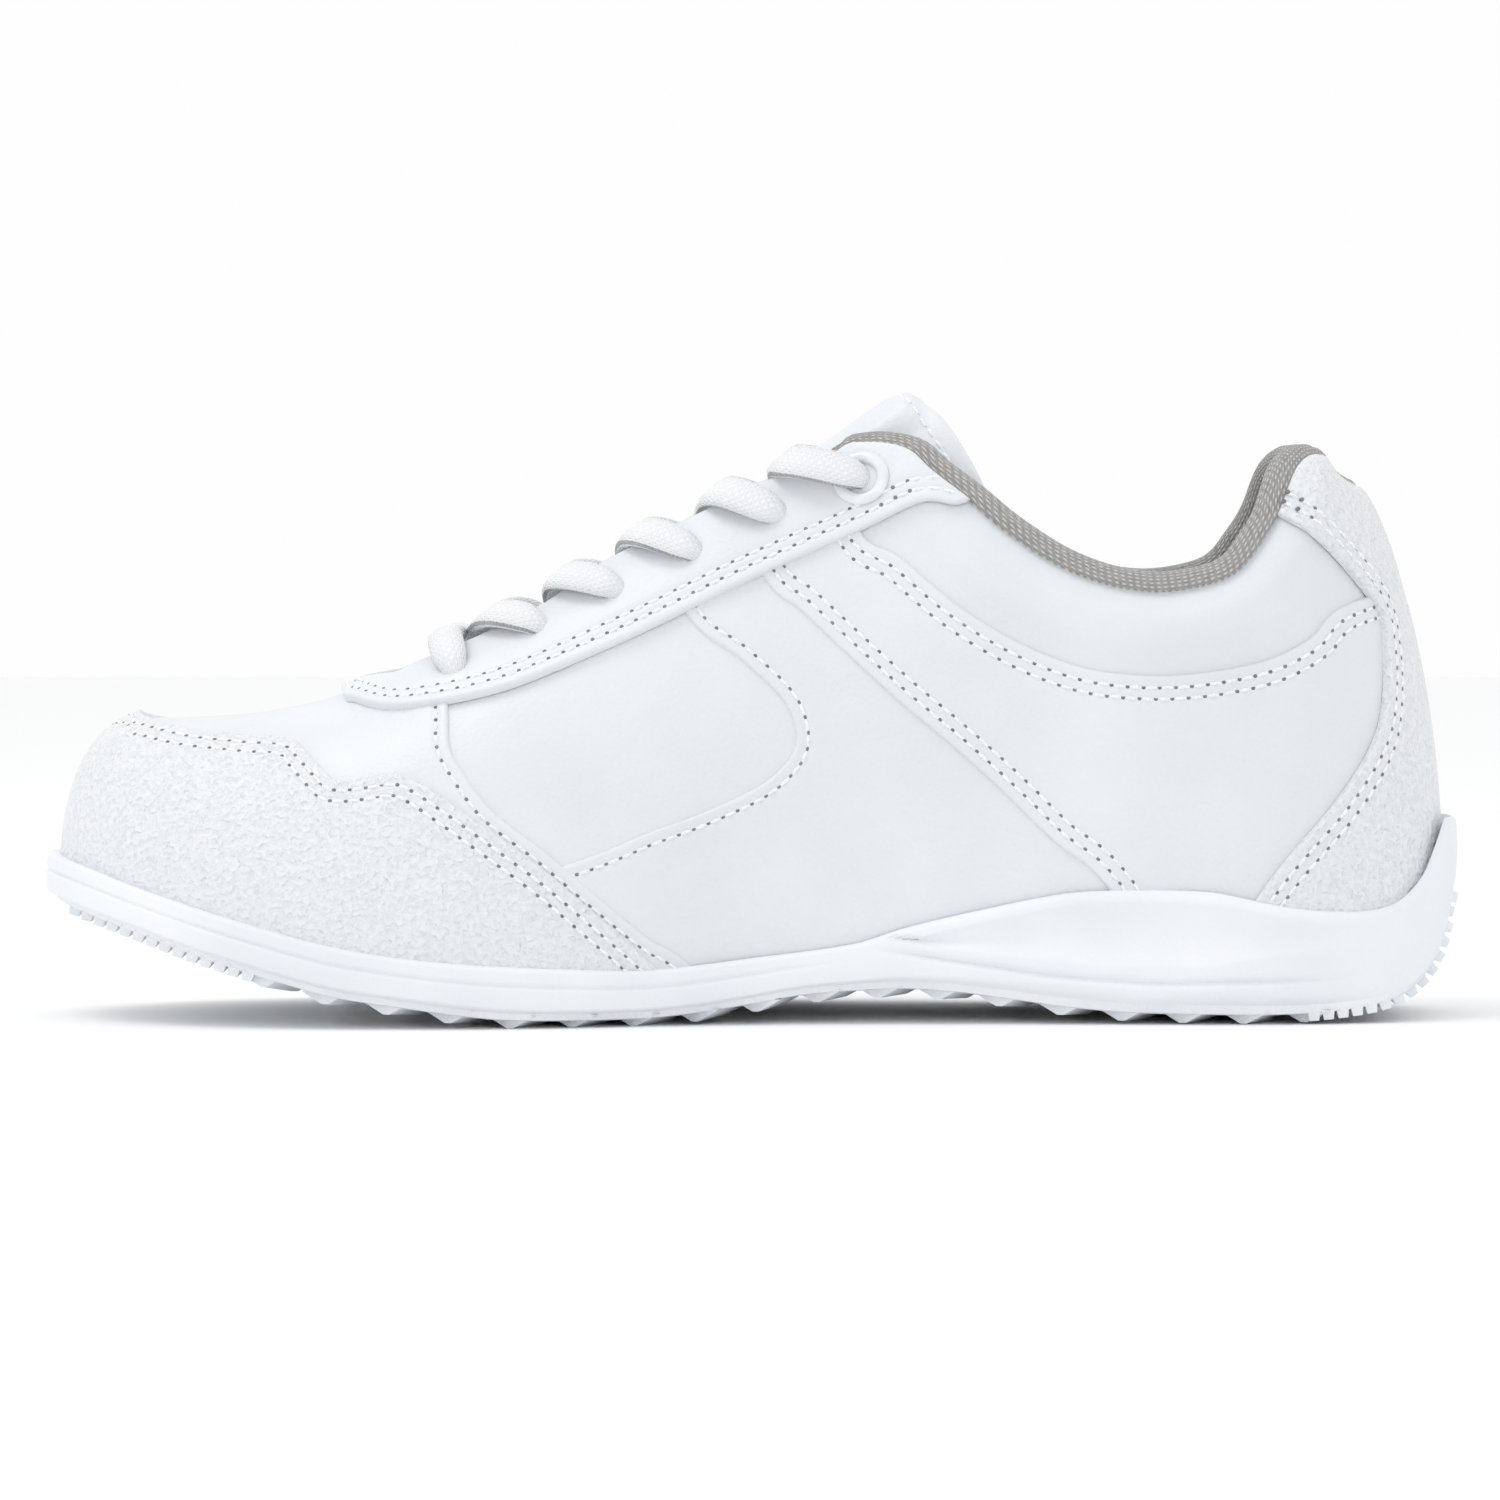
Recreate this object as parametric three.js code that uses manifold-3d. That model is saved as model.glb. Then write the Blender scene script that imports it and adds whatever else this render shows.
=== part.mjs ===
// A low cheer shoe for the right foot, resting on its sole.
// Millimetres, +Z up. The toe points to -X and the medial side faces -Y.
// Every layer of the upper is a wall of the last: the foot form whose skin is
// worked out below. Each wall lies between two depths under or over that skin,
// and its panels are cut out of the wall by the seam lines seen from the side.
import * as THREE from 'three';
import { mergeVertices } from 'three/addons/utils/BufferGeometryUtils.js';
import Module from 'manifold-3d';

// Overall sizes
const shoeLength = 268;
const ballWidth = 97;
const heelWidth = 68;
const tongueHeight = 118;

// Layers of the upper, counted inwards from the outer face of the base leather
const fitGap = 0.3;
const overlayLeather = 1.2;
const baseLeather = 1.2;
const backing = 1.0;
const liningCloth = 0.8;
const collarPadding = 5.0;

// Tongue
const tongueLeather = 1.0;
const tonguePadding = 3.0;
const tongueDepth = 9;

// Sole unit
const soleWall = 1.8;
const boardThickness = 1.5;
const footbedPadding = 3.5;
const footbedClothThickness = 0.7;
const outsolePlate = 1.0;
const lugHeight = 1.9;
const lugWidth = 3.2;
const lugPitch = 9;

// Laces
const laceDiameter = 2.6;
const punchedClearance = 1.2;
const ringClearance = 1.7;
const ringWall = 0.6;
const ringFlange = 10.6;
const ringFlangeHeight = 0.9;
const agletDiameter = 2.6;
const agletLength = 18;

// Fineness of the last's skin
const columns = 34;
const rows = 6;

// Depths that follow from the layers
const overlayInner = fitGap;
const overlayOuter = overlayInner + overlayLeather;
const baseInner = -baseLeather;
const backingOuter = baseInner - fitGap;
const backingInner = backingOuter - backing;
const liningOuter = backingInner - fitGap;
const liningInner = liningOuter - liningCloth;
const collarFoamInner = backingOuter - collarPadding;
const collarLiningOuter = collarFoamInner - fitGap;
const collarLiningInner = collarLiningOuter - liningCloth;
const tongueCoverInner = -tongueDepth - tongueLeather;
const tongueFoamOuter = tongueCoverInner - fitGap;
const tongueFoamInner = tongueFoamOuter - tonguePadding;
const tongueLiningOuter = tongueFoamInner - fitGap;
const tongueLiningInner = tongueLiningOuter - liningCloth;
const cupDepth = overlayOuter + fitGap;
const soleEdge = cupDepth + soleWall;
const laceClear = 0.9;
const punchedHole = laceDiameter + 2 * punchedClearance;
const ringHole = laceDiameter + 2 * ringClearance;
const underLace = liningInner - laceClear - laceDiameter / 2;
const overLace = overlayOuter + laceClear + laceDiameter / 2;
const ringTop = overlayOuter + fitGap + ringFlangeHeight;
const overRing = ringTop + laceClear + laceDiameter / 2;

// Sizes of the pattern that the outlines below are drawn on
const patternLength = 268;
const patternBall = 97;
const patternHeel = 68;
const patternHeight = 118;

const wasm = await Module();
wasm.setup();

// ---------- curves ----------

// A smooth function through knots [x, value], flat beyond its ends.
function track(knots) {
  const last = knots.length - 1;
  const slope = knots.map((knot, i) => {
    const before = knots[Math.max(0, i - 1)];
    const after = knots[Math.min(last, i + 1)];
    return (after[1] - before[1]) / (after[0] - before[0]);
  });
  return (x) => {
    if (x <= knots[0][0]) return knots[0][1];
    if (x >= knots[last][0]) return knots[last][1];
    const i = knots.findIndex((knot) => knot[0] > x) - 1;
    const span = knots[i + 1][0] - knots[i][0];
    const s = (x - knots[i][0]) / span;
    const rise = s * s * (3 - 2 * s);
    const lead = s * (1 - s) * (1 - s) * span;
    const tail = s * s * (s - 1) * span;
    return knots[i][1] * (1 - rise) + knots[i + 1][1] * rise + slope[i] * lead + slope[i + 1] * tail;
  };
}

const gradeX = (x) => (x * shoeLength) / patternLength;
const gradeZ = (z) => (z * tongueHeight) / patternHeight;
const grade = (points) => points.map(([x, z]) => [gradeX(x), gradeZ(z)]);
const gradeAlong = (knots) => knots.map(([x, z]) => [gradeX(x), z]);

// Floor of the foot space, underside of the sole, and top edge of the midsole
const floorLine = track(gradeAlong([
  [-134, 26], [-115, 20.5], [-96, 14.8], [-77, 10], [-58, 7.2], [-39, 6.2], [-20, 6.2],
  [0, 7.6], [28, 10.2], [66, 12.4], [104, 13.4], [134, 13.8],
]));
const soleLine = track(gradeAlong([
  [-134, 23], [-115, 17.4], [-96, 11.1], [-77, 5.9], [-58, 3.1], [-39, 1.3], [-20, 1.5],
  [0, 4], [28, 6.7], [47, 5], [66, 2.9], [85, 1.3], [108, 1.3], [120, 4], [134, 11],
]));
const rimLine = track(gradeAlong([
  [-134, 31.5], [-115, 25.7], [-96, 20], [-77, 15.1], [-58, 12.4], [-30, 10.7], [-18, 10.5],
  [0, 12.4], [19, 14.9], [38, 20.2], [57, 24.2], [76, 25], [88, 24.4], [104, 21.4],
  [114, 21], [121, 22.6], [128, 30], [132, 37.8],
]));

// ---------- the last ----------

// Ground outline of the last: [x, medial y, lateral y] from toe tip to heel tip.
const outline = [
  [-130.2, -3, -3], [-126, -18, 11], [-113, -32, 25], [-92, -40.5, 36.5], [-67, -43.5, 43.5],
  [-42, -41.5, 46], [-15, -33.5, 43.5], [12, -28.5, 38], [40, -28.5, 34], [70, -30.5, 31.5],
  [98, -30.5, 30.5], [117, -24.5, 24.5], [127.2, -13, 13], [130.4, 0, 0],
];
const widthShare = track([
  [-60, (ballWidth - 2 * soleEdge) / (patternBall - 7.2)],
  [70, (heelWidth - 2 * soleEdge) / (patternHeel - 7.2)],
].map(([x, share]) => [gradeX(x), share]));

function outlineLoop() {
  const place = (x, y) => new THREE.Vector3(gradeX(x), y * widthShare(gradeX(x)), 0);
  const medial = outline.map(([x, y]) => place(x, y));
  const lateral = outline.slice(1, -1).reverse().map(([x, , y]) => place(x, y));
  return new THREE.CatmullRomCurve3([...medial, ...lateral], true, 'catmullrom', 0.5);
}
const groundLoop = outlineLoop();

// Where the top of a column lies on the ridge, for the place where it starts
const ridgeStart = track([
  [-131, -112], [-110, -103], [-90, -87], [-60, -60], [-20, -20], [20, 13], [60, 38],
  [100, 58], [131, 70],
].map((pair) => pair.map(gradeX)));
const ridgeLine = track(grade([
  [-113, 56.4], [-96, 57.2], [-84, 59.3], [-77.5, 61.2], [-70, 64.6], [-61.5, 69.5],
  [-40.5, 80.5], [-28, 89], [-14, 97], [2.4, 107], [11.3, 113], [24.3, 122], [30, 125.6],
  [50, 131], [70, 131],
]));
const squareness = track(gradeAlong([
  [-131, 2.4], [-80, 2.2], [-28, 2.05], [2, 2.2], [60, 2.7], [100, 2.6], [131, 2.3],
]));

// A point of the last's skin: turn runs once round from the toe over the medial
// side, and climb from 0 at the floor to 1 on the ridge.
function skin(turn, climb) {
  const foot = groundLoop.getPoint(turn);
  const twin = groundLoop.getPoint((1 - turn) % 1);
  const middle = (foot.x + twin.x) / 2;
  const top = ridgeStart(middle);
  const floor = floorLine(foot.x);
  const power = 2 / squareness(middle);
  const across = Math.max(0, Math.cos((climb * Math.PI) / 2)) ** power;
  const up = Math.sin((climb * Math.PI) / 2) ** power;
  return new THREE.Vector3(
    top + (foot.x - top) * across,
    foot.y * across,
    floor + (ridgeLine(top) - floor) * up,
  );
}

const skirt = 18;

// The last as a closed mesh: a skirt below the floor, the skin, and the ridge
// where the two sides share their points.
function lastGeometry() {
  const points = [];
  const vertex = (column, row) => {
    const i = ((column % columns) + columns) % columns;
    const ridge = row === rows && i > columns / 2;
    return (ridge ? columns - i : i) * (rows + 2) + row + 1;
  };
  for (let i = 0; i < columns; i += 1) {
    for (let row = -1; row <= rows; row += 1) {
      const point = skin(i / columns, Math.max(0, row) / rows);
      points.push(point.x, point.y, row < 0 ? point.z - skirt : point.z);
    }
  }
  const faces = [];
  for (let i = 0; i < columns; i += 1) {
    for (let row = -1; row < rows; row += 1) {
      const a = vertex(i, row);
      const b = vertex(i + 1, row);
      const c = vertex(i + 1, row + 1);
      const d = vertex(i, row + 1);
      faces.push([a, b, c], [a, c, d]);
    }
  }
  for (let i = 0; i < columns / 2; i += 1) {
    const a = vertex(i, -1);
    const b = vertex(i + 1, -1);
    const c = vertex(columns - i - 1, -1);
    const d = vertex(columns - i, -1);
    faces.push([a, d, c], [a, c, b]);
  }
  const kept = faces.filter(([a, b, c]) => a !== b && b !== c && a !== c);
  const geometry = new THREE.BufferGeometry();
  geometry.setAttribute('position', new THREE.Float32BufferAttribute(points, 3));
  geometry.setIndex(kept.flat());
  geometry.computeVertexNormals();
  return geometry;
}
const lastMesh = lastGeometry();

// ---------- solids ----------

function toSolid(geometry) {
  const bare = geometry.clone();
  bare.deleteAttribute('normal');
  bare.deleteAttribute('uv');
  const merged = mergeVertices(bare, 1e-4);
  const position = merged.getAttribute('position');
  return new wasm.Manifold(new wasm.Mesh({
    numProp: 3,
    vertProperties: new Float32Array(position.array),
    triVerts: new Uint32Array(merged.getIndex().array),
  }));
}

function toGeometry(solid) {
  const mesh = solid.getMesh();
  const geometry = new THREE.BufferGeometry();
  geometry.setAttribute('position', new THREE.BufferAttribute(new Float32Array(mesh.vertProperties), 3));
  geometry.setIndex(new THREE.BufferAttribute(new Uint32Array(mesh.triVerts), 1));
  geometry.computeVertexNormals();
  return geometry;
}

// The last grown outwards by depth, or shrunk where depth is negative
const grownLasts = new Map();
function grownLast(depth) {
  const key = depth.toFixed(4);
  if (!grownLasts.has(key)) {
    const bare = lastMesh.clone();
    const position = bare.getAttribute('position');
    const normal = bare.getAttribute('normal');
    for (let i = 0; i < position.count; i += 1) {
      position.setXYZ(
        i,
        position.getX(i) + normal.getX(i) * depth,
        position.getY(i) + normal.getY(i) * depth,
        position.getZ(i) + normal.getZ(i) * depth,
      );
    }
    const used = new THREE.BufferGeometry();
    used.setAttribute('position', position);
    used.setIndex(bare.getIndex());
    grownLasts.set(key, toSolid(used.toNonIndexed()));
  }
  return grownLasts.get(key);
}
const wall = (outer, inner) => grownLast(outer).subtract(grownLast(inner));

const far = shoeLength;
const halfGap = fitGap / 2;
const sideSpan = { both: [-far, far], medial: [-far, -halfGap], lateral: [halfGap, far] };

// A prism whose section is an outline seen from the side, [x, z]
function sidePrism(points, side = 'both') {
  const shape = new THREE.Shape(points.map(([x, z]) => new THREE.Vector2(x, z)));
  const [near, away] = sideSpan[side];
  const geometry = new THREE.ExtrudeGeometry(shape, { depth: away - near, bevelEnabled: false });
  geometry.rotateX(Math.PI / 2);
  geometry.translate(0, away, 0);
  return toSolid(geometry);
}

// Everything below, or above, a line that runs across the whole length
const below = (line) => sidePrism([[-far, line[0][1]], ...line, [far, line.at(-1)[1]], [far, -far], [-far, -far]]);
const above = (line) => sidePrism([[far, line.at(-1)[1]], ...[...line].reverse(), [-far, line[0][1]], [-far, far], [far, far]]);

// The floor line as points, raised by an amount
const stations = [-134, -115, -96, -77, -58, -39, -20, 0, 28, 66, 104, 134].map(gradeX);
const floorAt = (raise) => stations.map((x) => [x, floorLine(x) + raise]);

// A line moved sideways, to its left as it runs
function shifted(line, amount) {
  return line.map(([x, z], i) => {
    const [ax, az] = line[Math.max(0, i - 1)];
    const [bx, bz] = line[Math.min(line.length - 1, i + 1)];
    const reach = Math.hypot(bx - ax, bz - az);
    return [x - (amount * (bz - az)) / reach, z + (amount * (bx - ax)) / reach];
  });
}

// A thin cut along a seam, so that the two panels beside it don't touch
const seamCut = (line) => sidePrism([...shifted(line, halfGap), ...shifted(line, -halfGap).reverse()]);

// ---------- seam lines, seen from the side ----------

const vampSeam = grade([
  [2, -4], [-11.9, 11.4], [-19.5, 16.4], [-29.1, 24.4], [-38.6, 32.6], [-48.2, 40], [-53.9, 47.3],
  [-56.4, 52.1], [-56.9, 59.7], [-59, 74],
]);
const windowSeam = grade([
  [-42, 27.5], [-29.1, 32], [-19.5, 35.9], [-10, 39.3], [-0.5, 43.5], [4.3, 46.7], [7.9, 51.1],
  [7.9, 55.9], [5.2, 61.2], [-2.4, 68.3], [-12.3, 76.5], [-21, 98],
]);
const diagonalSeam = grade([
  [82, 2], [66.3, 25.7], [56.7, 33.9], [47.2, 43.1], [28.1, 59.7], [18.6, 68.3], [9.1, 77.2],
  [2.4, 83], [-9, 104],
]);
const collarSeam = grade([
  [16.5, 122], [19.5, 94], [28.1, 87], [37.7, 78.8], [47.2, 72.7], [56.7, 68.3], [66.3, 65.8],
  [80, 65.3], [94.9, 67.7], [104.4, 72.1], [112, 78.5], [140, 86],
]);
const eyestayEdge = grade([
  [-79, 70], [-77.5, 61.2], [-74.9, 59.7], [-67.6, 58.4], [-57.7, 59.5], [-48.2, 61.6], [-38.6, 65],
  [-19.5, 73.4], [-0.5, 82.6], [18.6, 91.2], [31.9, 97.3], [40.5, 97.6], [50, 110],
]);
const heelOverlayEdge = grade([
  [84, 8], [96.8, 27.3], [108.2, 40.6], [114.3, 49.2], [117.4, 55.9], [118.5, 63.5], [118.3, 71.1],
  [116.8, 77.8], [109.2, 86.4], [98.7, 93.5], [93, 108],
]);
const toeOverlayEdge = grade([
  [-150, 57], [-119, 56.6], [-105.4, 53.4], [-86.3, 52.1], [-82.9, 49.8], [-78.7, 46],
  [-76.4, 45], [-64.9, 46.3], [-55.8, 41.2], [-38.6, 28.8], [-18.2, 10.7], [-6, -2],
]);
const throatEdge = grade([
  [-67.2, 64.3], [-61.5, 66.7], [-40.5, 76.5], [-28.1, 85.1], [-13.8, 92.5], [2.4, 100.7],
  [11.3, 103.5], [18.6, 108.3],
]);
const throatFront = [-72.5, 5];
const throatRear = [34, 11.5];
const collarEdge = grade([
  [18.6, 108.3], [30, 107], [40.5, 98.4], [47.2, 92.7], [56.7, 86.4], [66.3, 82.6], [75.8, 81.2],
  [85.3, 82.6], [95.8, 91.2], [102.5, 104.5], [107.3, 106.2], [115.3, 100.1], [150, 95],
]);
const bindingHeight = grade([
  [18.6, 110.3], [30, 110.3], [40.5, 103.2], [47.2, 97.4], [56.7, 89.9], [66.3, 86], [75.8, 84.9],
  [85.3, 86.6], [95.8, 96.5], [101.5, 107.3], [107.5, 109], [117, 103.4], [150, 99],
]);
const tongueTop = grade([[12, 120], [22, 121], [30, 118.2], [36, 114.5], [41.5, 106.2], [45.3, 97.5]]);
const tongueLow = grade([[34, 89], [14, 82.5], [-10, 72.5], [-34, 62], [-52, 54], [-66, 49], [-78, 46]]);

// Solids that the seam lines bound
const underFloor = below(floorAt(0));
const underBoard = below(floorAt(boardThickness + fitGap));
const top = gradeZ(170);
const ankleMouth = sidePrism([...collarEdge, [collarEdge.at(-1)[0], top], [collarEdge[0][0], top]]);
const bindingCut = sidePrism([
  ...bindingHeight, [bindingHeight.at(-1)[0], top], [bindingHeight[0][0] - 1, top],
  [bindingHeight[0][0] - 1, bindingHeight[0][1]],
]);
const vampSide = sidePrism([...vampSeam, [vampSeam.at(-1)[0], top], [-far, top], [-far, -far], [vampSeam[0][0], -far]]);
const windowSide = sidePrism([...windowSeam, [windowSeam.at(-1)[0], top], [-far, top], [-far, windowSeam[0][1]]]);
const foreSide = sidePrism([
  ...diagonalSeam, [diagonalSeam.at(-1)[0], top], [-far, top], [-far, -far], [diagonalSeam[0][0], -far],
]);
const collarSide = sidePrism([
  ...collarSeam, [far, collarSeam.at(-1)[1]], [far, top], [collarSeam[0][0], top],
]);
const eyestaySide = sidePrism([...eyestayEdge, [eyestayEdge.at(-1)[0], top], [eyestayEdge[0][0], top]]);
const heelSide = sidePrism([
  ...heelOverlayEdge, [heelOverlayEdge.at(-1)[0], top], [far, top], [far, -far], [heelOverlayEdge[0][0], -far],
]);
const toeSide = sidePrism([...toeOverlayEdge, [toeOverlayEdge.at(-1)[0], -far], [-far, -far], [-far, gradeZ(57)]]);
const seamCuts = [vampSeam, windowSeam, diagonalSeam, collarSeam].map(seamCut);

// ---------- materials ----------

const finish = (name, color, roughness, metalness = 0) => (
  new THREE.MeshStandardMaterial({ name, color, roughness, metalness })
);
const smoothLeather = finish('smooth leather', '#eceef0', 0.45);
const grainLeather = finish('grained leather', '#e6e8ea', 0.6);
const foamRubber = finish('foam sole', '#f2f4f7', 0.55);
const soleRubber = finish('sole rubber', '#eceef1', 0.6);
const greyKnit = finish('grey knit', '#8f8e8b', 0.95);
const whiteCloth = finish('white cloth', '#e2e3e4', 0.9);
const padding = finish('padding', '#d8d8d4', 0.95);
const boardFibre = finish('fibre board', '#c9c2b4', 0.9);
const laceWeave = finish('lace weave', '#f4f5f6', 0.85);
const agletPlastic = finish('aglet plastic', '#f0f1f2', 0.25);
const ringEnamel = finish('ring enamel', '#e4e6e8', 0.3, 0.1);

const shoe = new THREE.Group();
function addPart(name, solid, material) {
  const mesh = new THREE.Mesh(toGeometry(solid), material);
  mesh.name = name;
  shoe.add(mesh);
}
const without = (solid, ...cutters) => cutters.reduce((rest, cutter) => rest.subtract(cutter), solid);
const within = (solid, ...limits) => limits.reduce((rest, limit) => rest.intersect(limit), solid);

// ---------- throat and lace holes ----------

// The place on the skin that is seen from one side at x, z
function seat(x, z, side) {
  const turnOf = (share) => (side === 'medial' ? share / 2 : 1 - share / 2);
  let best = { miss: Infinity };
  for (let i = 1; i < 60; i += 1) {
    for (let j = 1; j < 60; j += 1) {
      const point = skin(turnOf(i / 60), j / 60);
      const miss = Math.hypot(point.x - x, point.z - z);
      if (miss < best.miss) best = { miss, share: i / 60, climb: j / 60 };
    }
  }
  let step = 1 / 60;
  while (step > 1e-5) {
    const tries = [[step, 0], [-step, 0], [0, step], [0, -step]].map(([ds, dc]) => {
      const share = best.share + ds;
      const climb = Math.min(1, Math.max(0, best.climb + dc));
      const point = skin(turnOf(share), climb);
      return { miss: Math.hypot(point.x - x, point.z - z), share, climb };
    });
    const nearest = tries.reduce((a, b) => (a.miss < b.miss ? a : b));
    if (nearest.miss < best.miss) best = nearest;
    else step /= 2;
  }
  const point = skin(turnOf(best.share), best.climb);
  const small = 1e-3;
  const along = skin(turnOf(best.share + small), best.climb).sub(point);
  const up = skin(turnOf(best.share), best.climb - small).sub(point);
  const normal = along.cross(up).normalize();
  if (normal.z < 0) normal.negate();
  return { point, normal, at: (depth) => point.clone().addScaledVector(normal, depth) };
}

// The throat is cut straight down along its edge, as the plan view shows it
function throatMouth() {
  const front = throatFront.map(gradeX);
  const edge = (side) => throatEdge.map(([x, z]) => seat(x, z, side).point);
  const [rearX, rearY] = throatRear.map(gradeX);
  const flat = [
    [front[0], -front[1]], ...edge('medial').map(({ x, y }) => [x, y]), [rearX, -rearY],
    [rearX, rearY], ...edge('lateral').reverse().map(({ x, y }) => [x, y]), [front[0], front[1]],
  ];
  const shape = new THREE.Shape(flat.map(([x, y]) => new THREE.Vector2(x, y)));
  const geometry = new THREE.ExtrudeGeometry(shape, { depth: far, bevelEnabled: false });
  geometry.translate(0, 0, gradeZ(45));
  return toSolid(geometry);
}
const throat = throatMouth();
const mouth = ankleMouth.add(throat);

const holeMarks = grade([
  [-55.5, 65], [-39.6, 73.4], [-25.3, 80.3], [-10.6, 87.5], [5.2, 94.8], [20.9, 101.4],
]);
const edgeMarks = grade([
  [-56.5, 68.9], [-40.5, 76.5], [-27.1, 85.4], [-12.4, 93], [3.4, 100.9], [14.6, 107.4],
]);
const holes = {};
for (const side of ['medial', 'lateral']) {
  holes[side] = holeMarks.map(([x, z]) => seat(x, z, side));
}

const drillSides = 6;
const drillReach = 7;

// A drill whose flats clear the radius
function drill(place, radius) {
  const corner = radius / Math.cos(Math.PI / drillSides);
  const rod = new THREE.CylinderGeometry(corner, corner, 2 * drillReach, drillSides);
  rod.applyQuaternion(new THREE.Quaternion().setFromUnitVectors(new THREE.Vector3(0, 1, 0), place.normal));
  rod.translate(place.point.x, place.point.y, place.point.z);
  return toSolid(rod);
}
const ringBarrel = ringHole / 2 + ringWall;
const drills = ['medial', 'lateral'].flatMap((side) => holes[side].map((place, row) => {
  const radius = row === holeMarks.length - 1 ? ringBarrel + fitGap : punchedHole / 2;
  return drill(place, radius);
}));

// ---------- upper ----------

const baseWall = without(wall(0, baseInner), underFloor, mouth, ...seamCuts, ...drills);
addPart('vamp', within(baseWall, vampSide), smoothLeather);
for (const side of ['medial', 'lateral']) {
  const half = sidePrism([[-far, -far], [far, -far], [far, far], [-far, far]], side);
  const sideWall = baseWall.intersect(half);
  addPart(`window_insert_${side}`, without(within(sideWall, windowSide), vampSide), smoothLeather);
  addPart(`midfoot_panel_${side}`, without(within(sideWall, foreSide), vampSide, windowSide), smoothLeather);
  addPart(`rear_quarter_${side}`, without(sideWall, foreSide, collarSide), smoothLeather);
  addPart(`collar_panel_${side}`, within(sideWall, collarSide), smoothLeather);
}

const overlayWall = without(wall(overlayOuter, overlayInner), underFloor, mouth, ...drills);
addPart('toe_overlay', within(overlayWall, toeSide), grainLeather);
addPart('eyestay', within(overlayWall, eyestaySide), grainLeather);
addPart('heel_overlay', without(within(overlayWall, heelSide), eyestaySide), grainLeather);

const collarFront = gradeX(29);
const collarFrontHeight = gradeZ(86.2);
const puffEnd = gradeX(-86);
const vampEnd = gradeX(-12);
const counterStart = gradeX(78);
const slice = (from, to) => sidePrism([[from, -far], [to, -far], [to, far], [from, far]]);
const paddingSeam = [
  [collarFront, top], [collarFront, collarFrontHeight], ...collarSeam.filter(([x]) => x > collarFront + 4),
];
const paddedSide = sidePrism([...paddingSeam, [far, paddingSeam.at(-1)[1]], [far, top]]);
const paddingCut = seamCut(paddingSeam);
const backingWall = without(wall(backingOuter, backingInner), underBoard, mouth, eyestaySide);
const lowBacking = without(backingWall, paddedSide, paddingCut);
addPart('toe_puff', within(backingWall, slice(-far, puffEnd - fitGap)), boardFibre);
addPart('vamp_backing', within(backingWall, slice(puffEnd, vampEnd - fitGap)), padding);
for (const side of ['medial', 'lateral']) {
  const half = sidePrism([[vampEnd, -far], [counterStart - fitGap, -far], [counterStart - fitGap, far], [vampEnd, far]], side);
  addPart(`quarter_backing_${side}`, within(lowBacking, half), padding);
}
addPart('heel_counter', within(lowBacking, slice(counterStart, far)), boardFibre);

const liningWall = without(wall(liningOuter, liningInner), underBoard, mouth, ...drills);
addPart('vamp_lining', within(liningWall, slice(-far, vampEnd - fitGap)), whiteCloth);
addPart('quarter_lining', without(within(liningWall, slice(vampEnd, far)), paddedSide, paddingCut), whiteCloth);

const collarZone = without(paddedSide, paddingCut);
addPart('collar_foam', without(within(wall(backingOuter, collarFoamInner), collarZone), mouth), padding);
const knitWall = without(within(wall(collarLiningOuter, collarLiningInner), collarZone), bindingCut);
const rimStart = shifted(collarEdge, fitGap);
const rimBand = sidePrism([...rimStart, ...[...bindingHeight].reverse()]);
const knitRim = within(wall(0, collarLiningInner), rimBand);
addPart('collar_lining', knitWall.add(knitRim).subtract(throat), greyKnit);

// ---------- tongue ----------

const tongueShape = sidePrism([...tongueTop, ...tongueLow, [tongueLow.at(-1)[0], top * 0.6]]);
const tongueLayer = (outer, inner) => within(wall(outer, inner), tongueShape);
addPart('tongue_cover', tongueLayer(-tongueDepth, tongueCoverInner), smoothLeather);
addPart('tongue_foam', tongueLayer(tongueFoamOuter, tongueFoamInner), padding);
addPart('tongue_lining', tongueLayer(tongueLiningOuter, tongueLiningInner), greyKnit);

// ---------- eyelets and lace ----------

function ringSolid(place) {
  const bore = ringHole / 2;
  const seatDepth = overlayOuter + fitGap;
  const profile = [
    [bore, liningInner - fitGap], [ringBarrel, liningInner - fitGap], [ringBarrel, seatDepth],
    [ringFlange / 2, seatDepth], [ringFlange / 2 - 0.6, seatDepth + ringFlangeHeight],
    [bore, seatDepth + ringFlangeHeight], [bore, liningInner - fitGap],
  ].map(([r, z]) => new THREE.Vector2(r, z));
  const geometry = new THREE.LatheGeometry(profile, 10);
  geometry.applyQuaternion(new THREE.Quaternion().setFromUnitVectors(new THREE.Vector3(0, 1, 0), place.normal));
  geometry.translate(place.point.x, place.point.y, place.point.z);
  return toSolid(geometry);
}
for (const side of ['medial', 'lateral']) {
  addPart(`eyelet_ring_${side}`, ringSolid(holes[side].at(-1)), ringEnamel);
}

const cordSides = 6;

// A cord's path, which takes its steps at its own points
class CordPath extends THREE.CatmullRomCurve3 {
  getSpacedPoints(steps) {
    return this.getPoints(steps);
  }

  getTangentAt(share) {
    return this.getTangent(share);
  }
}

function cordSolid(points, diameter) {
  const corners = Array.from({ length: cordSides }, (_, i) => {
    const angle = (2 * Math.PI * (i + 0.5)) / cordSides;
    return new THREE.Vector2(Math.cos(angle), Math.sin(angle)).multiplyScalar(diameter / 2);
  });
  return toSolid(new THREE.ExtrudeGeometry(new THREE.Shape(corners), {
    steps: points.length - 1,
    extrudePath: new CordPath(points, false, 'centripetal'),
    bevelEnabled: false,
  }));
}

// Where the lace is tucked down between the tongue and the lining, from the side
const tuckedRun = grade([[19.6, 97], [16.8, 90], [14, 82], [12.5, 75]]);
const tuckedDepth = underLace - fitGap / 3;

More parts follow.
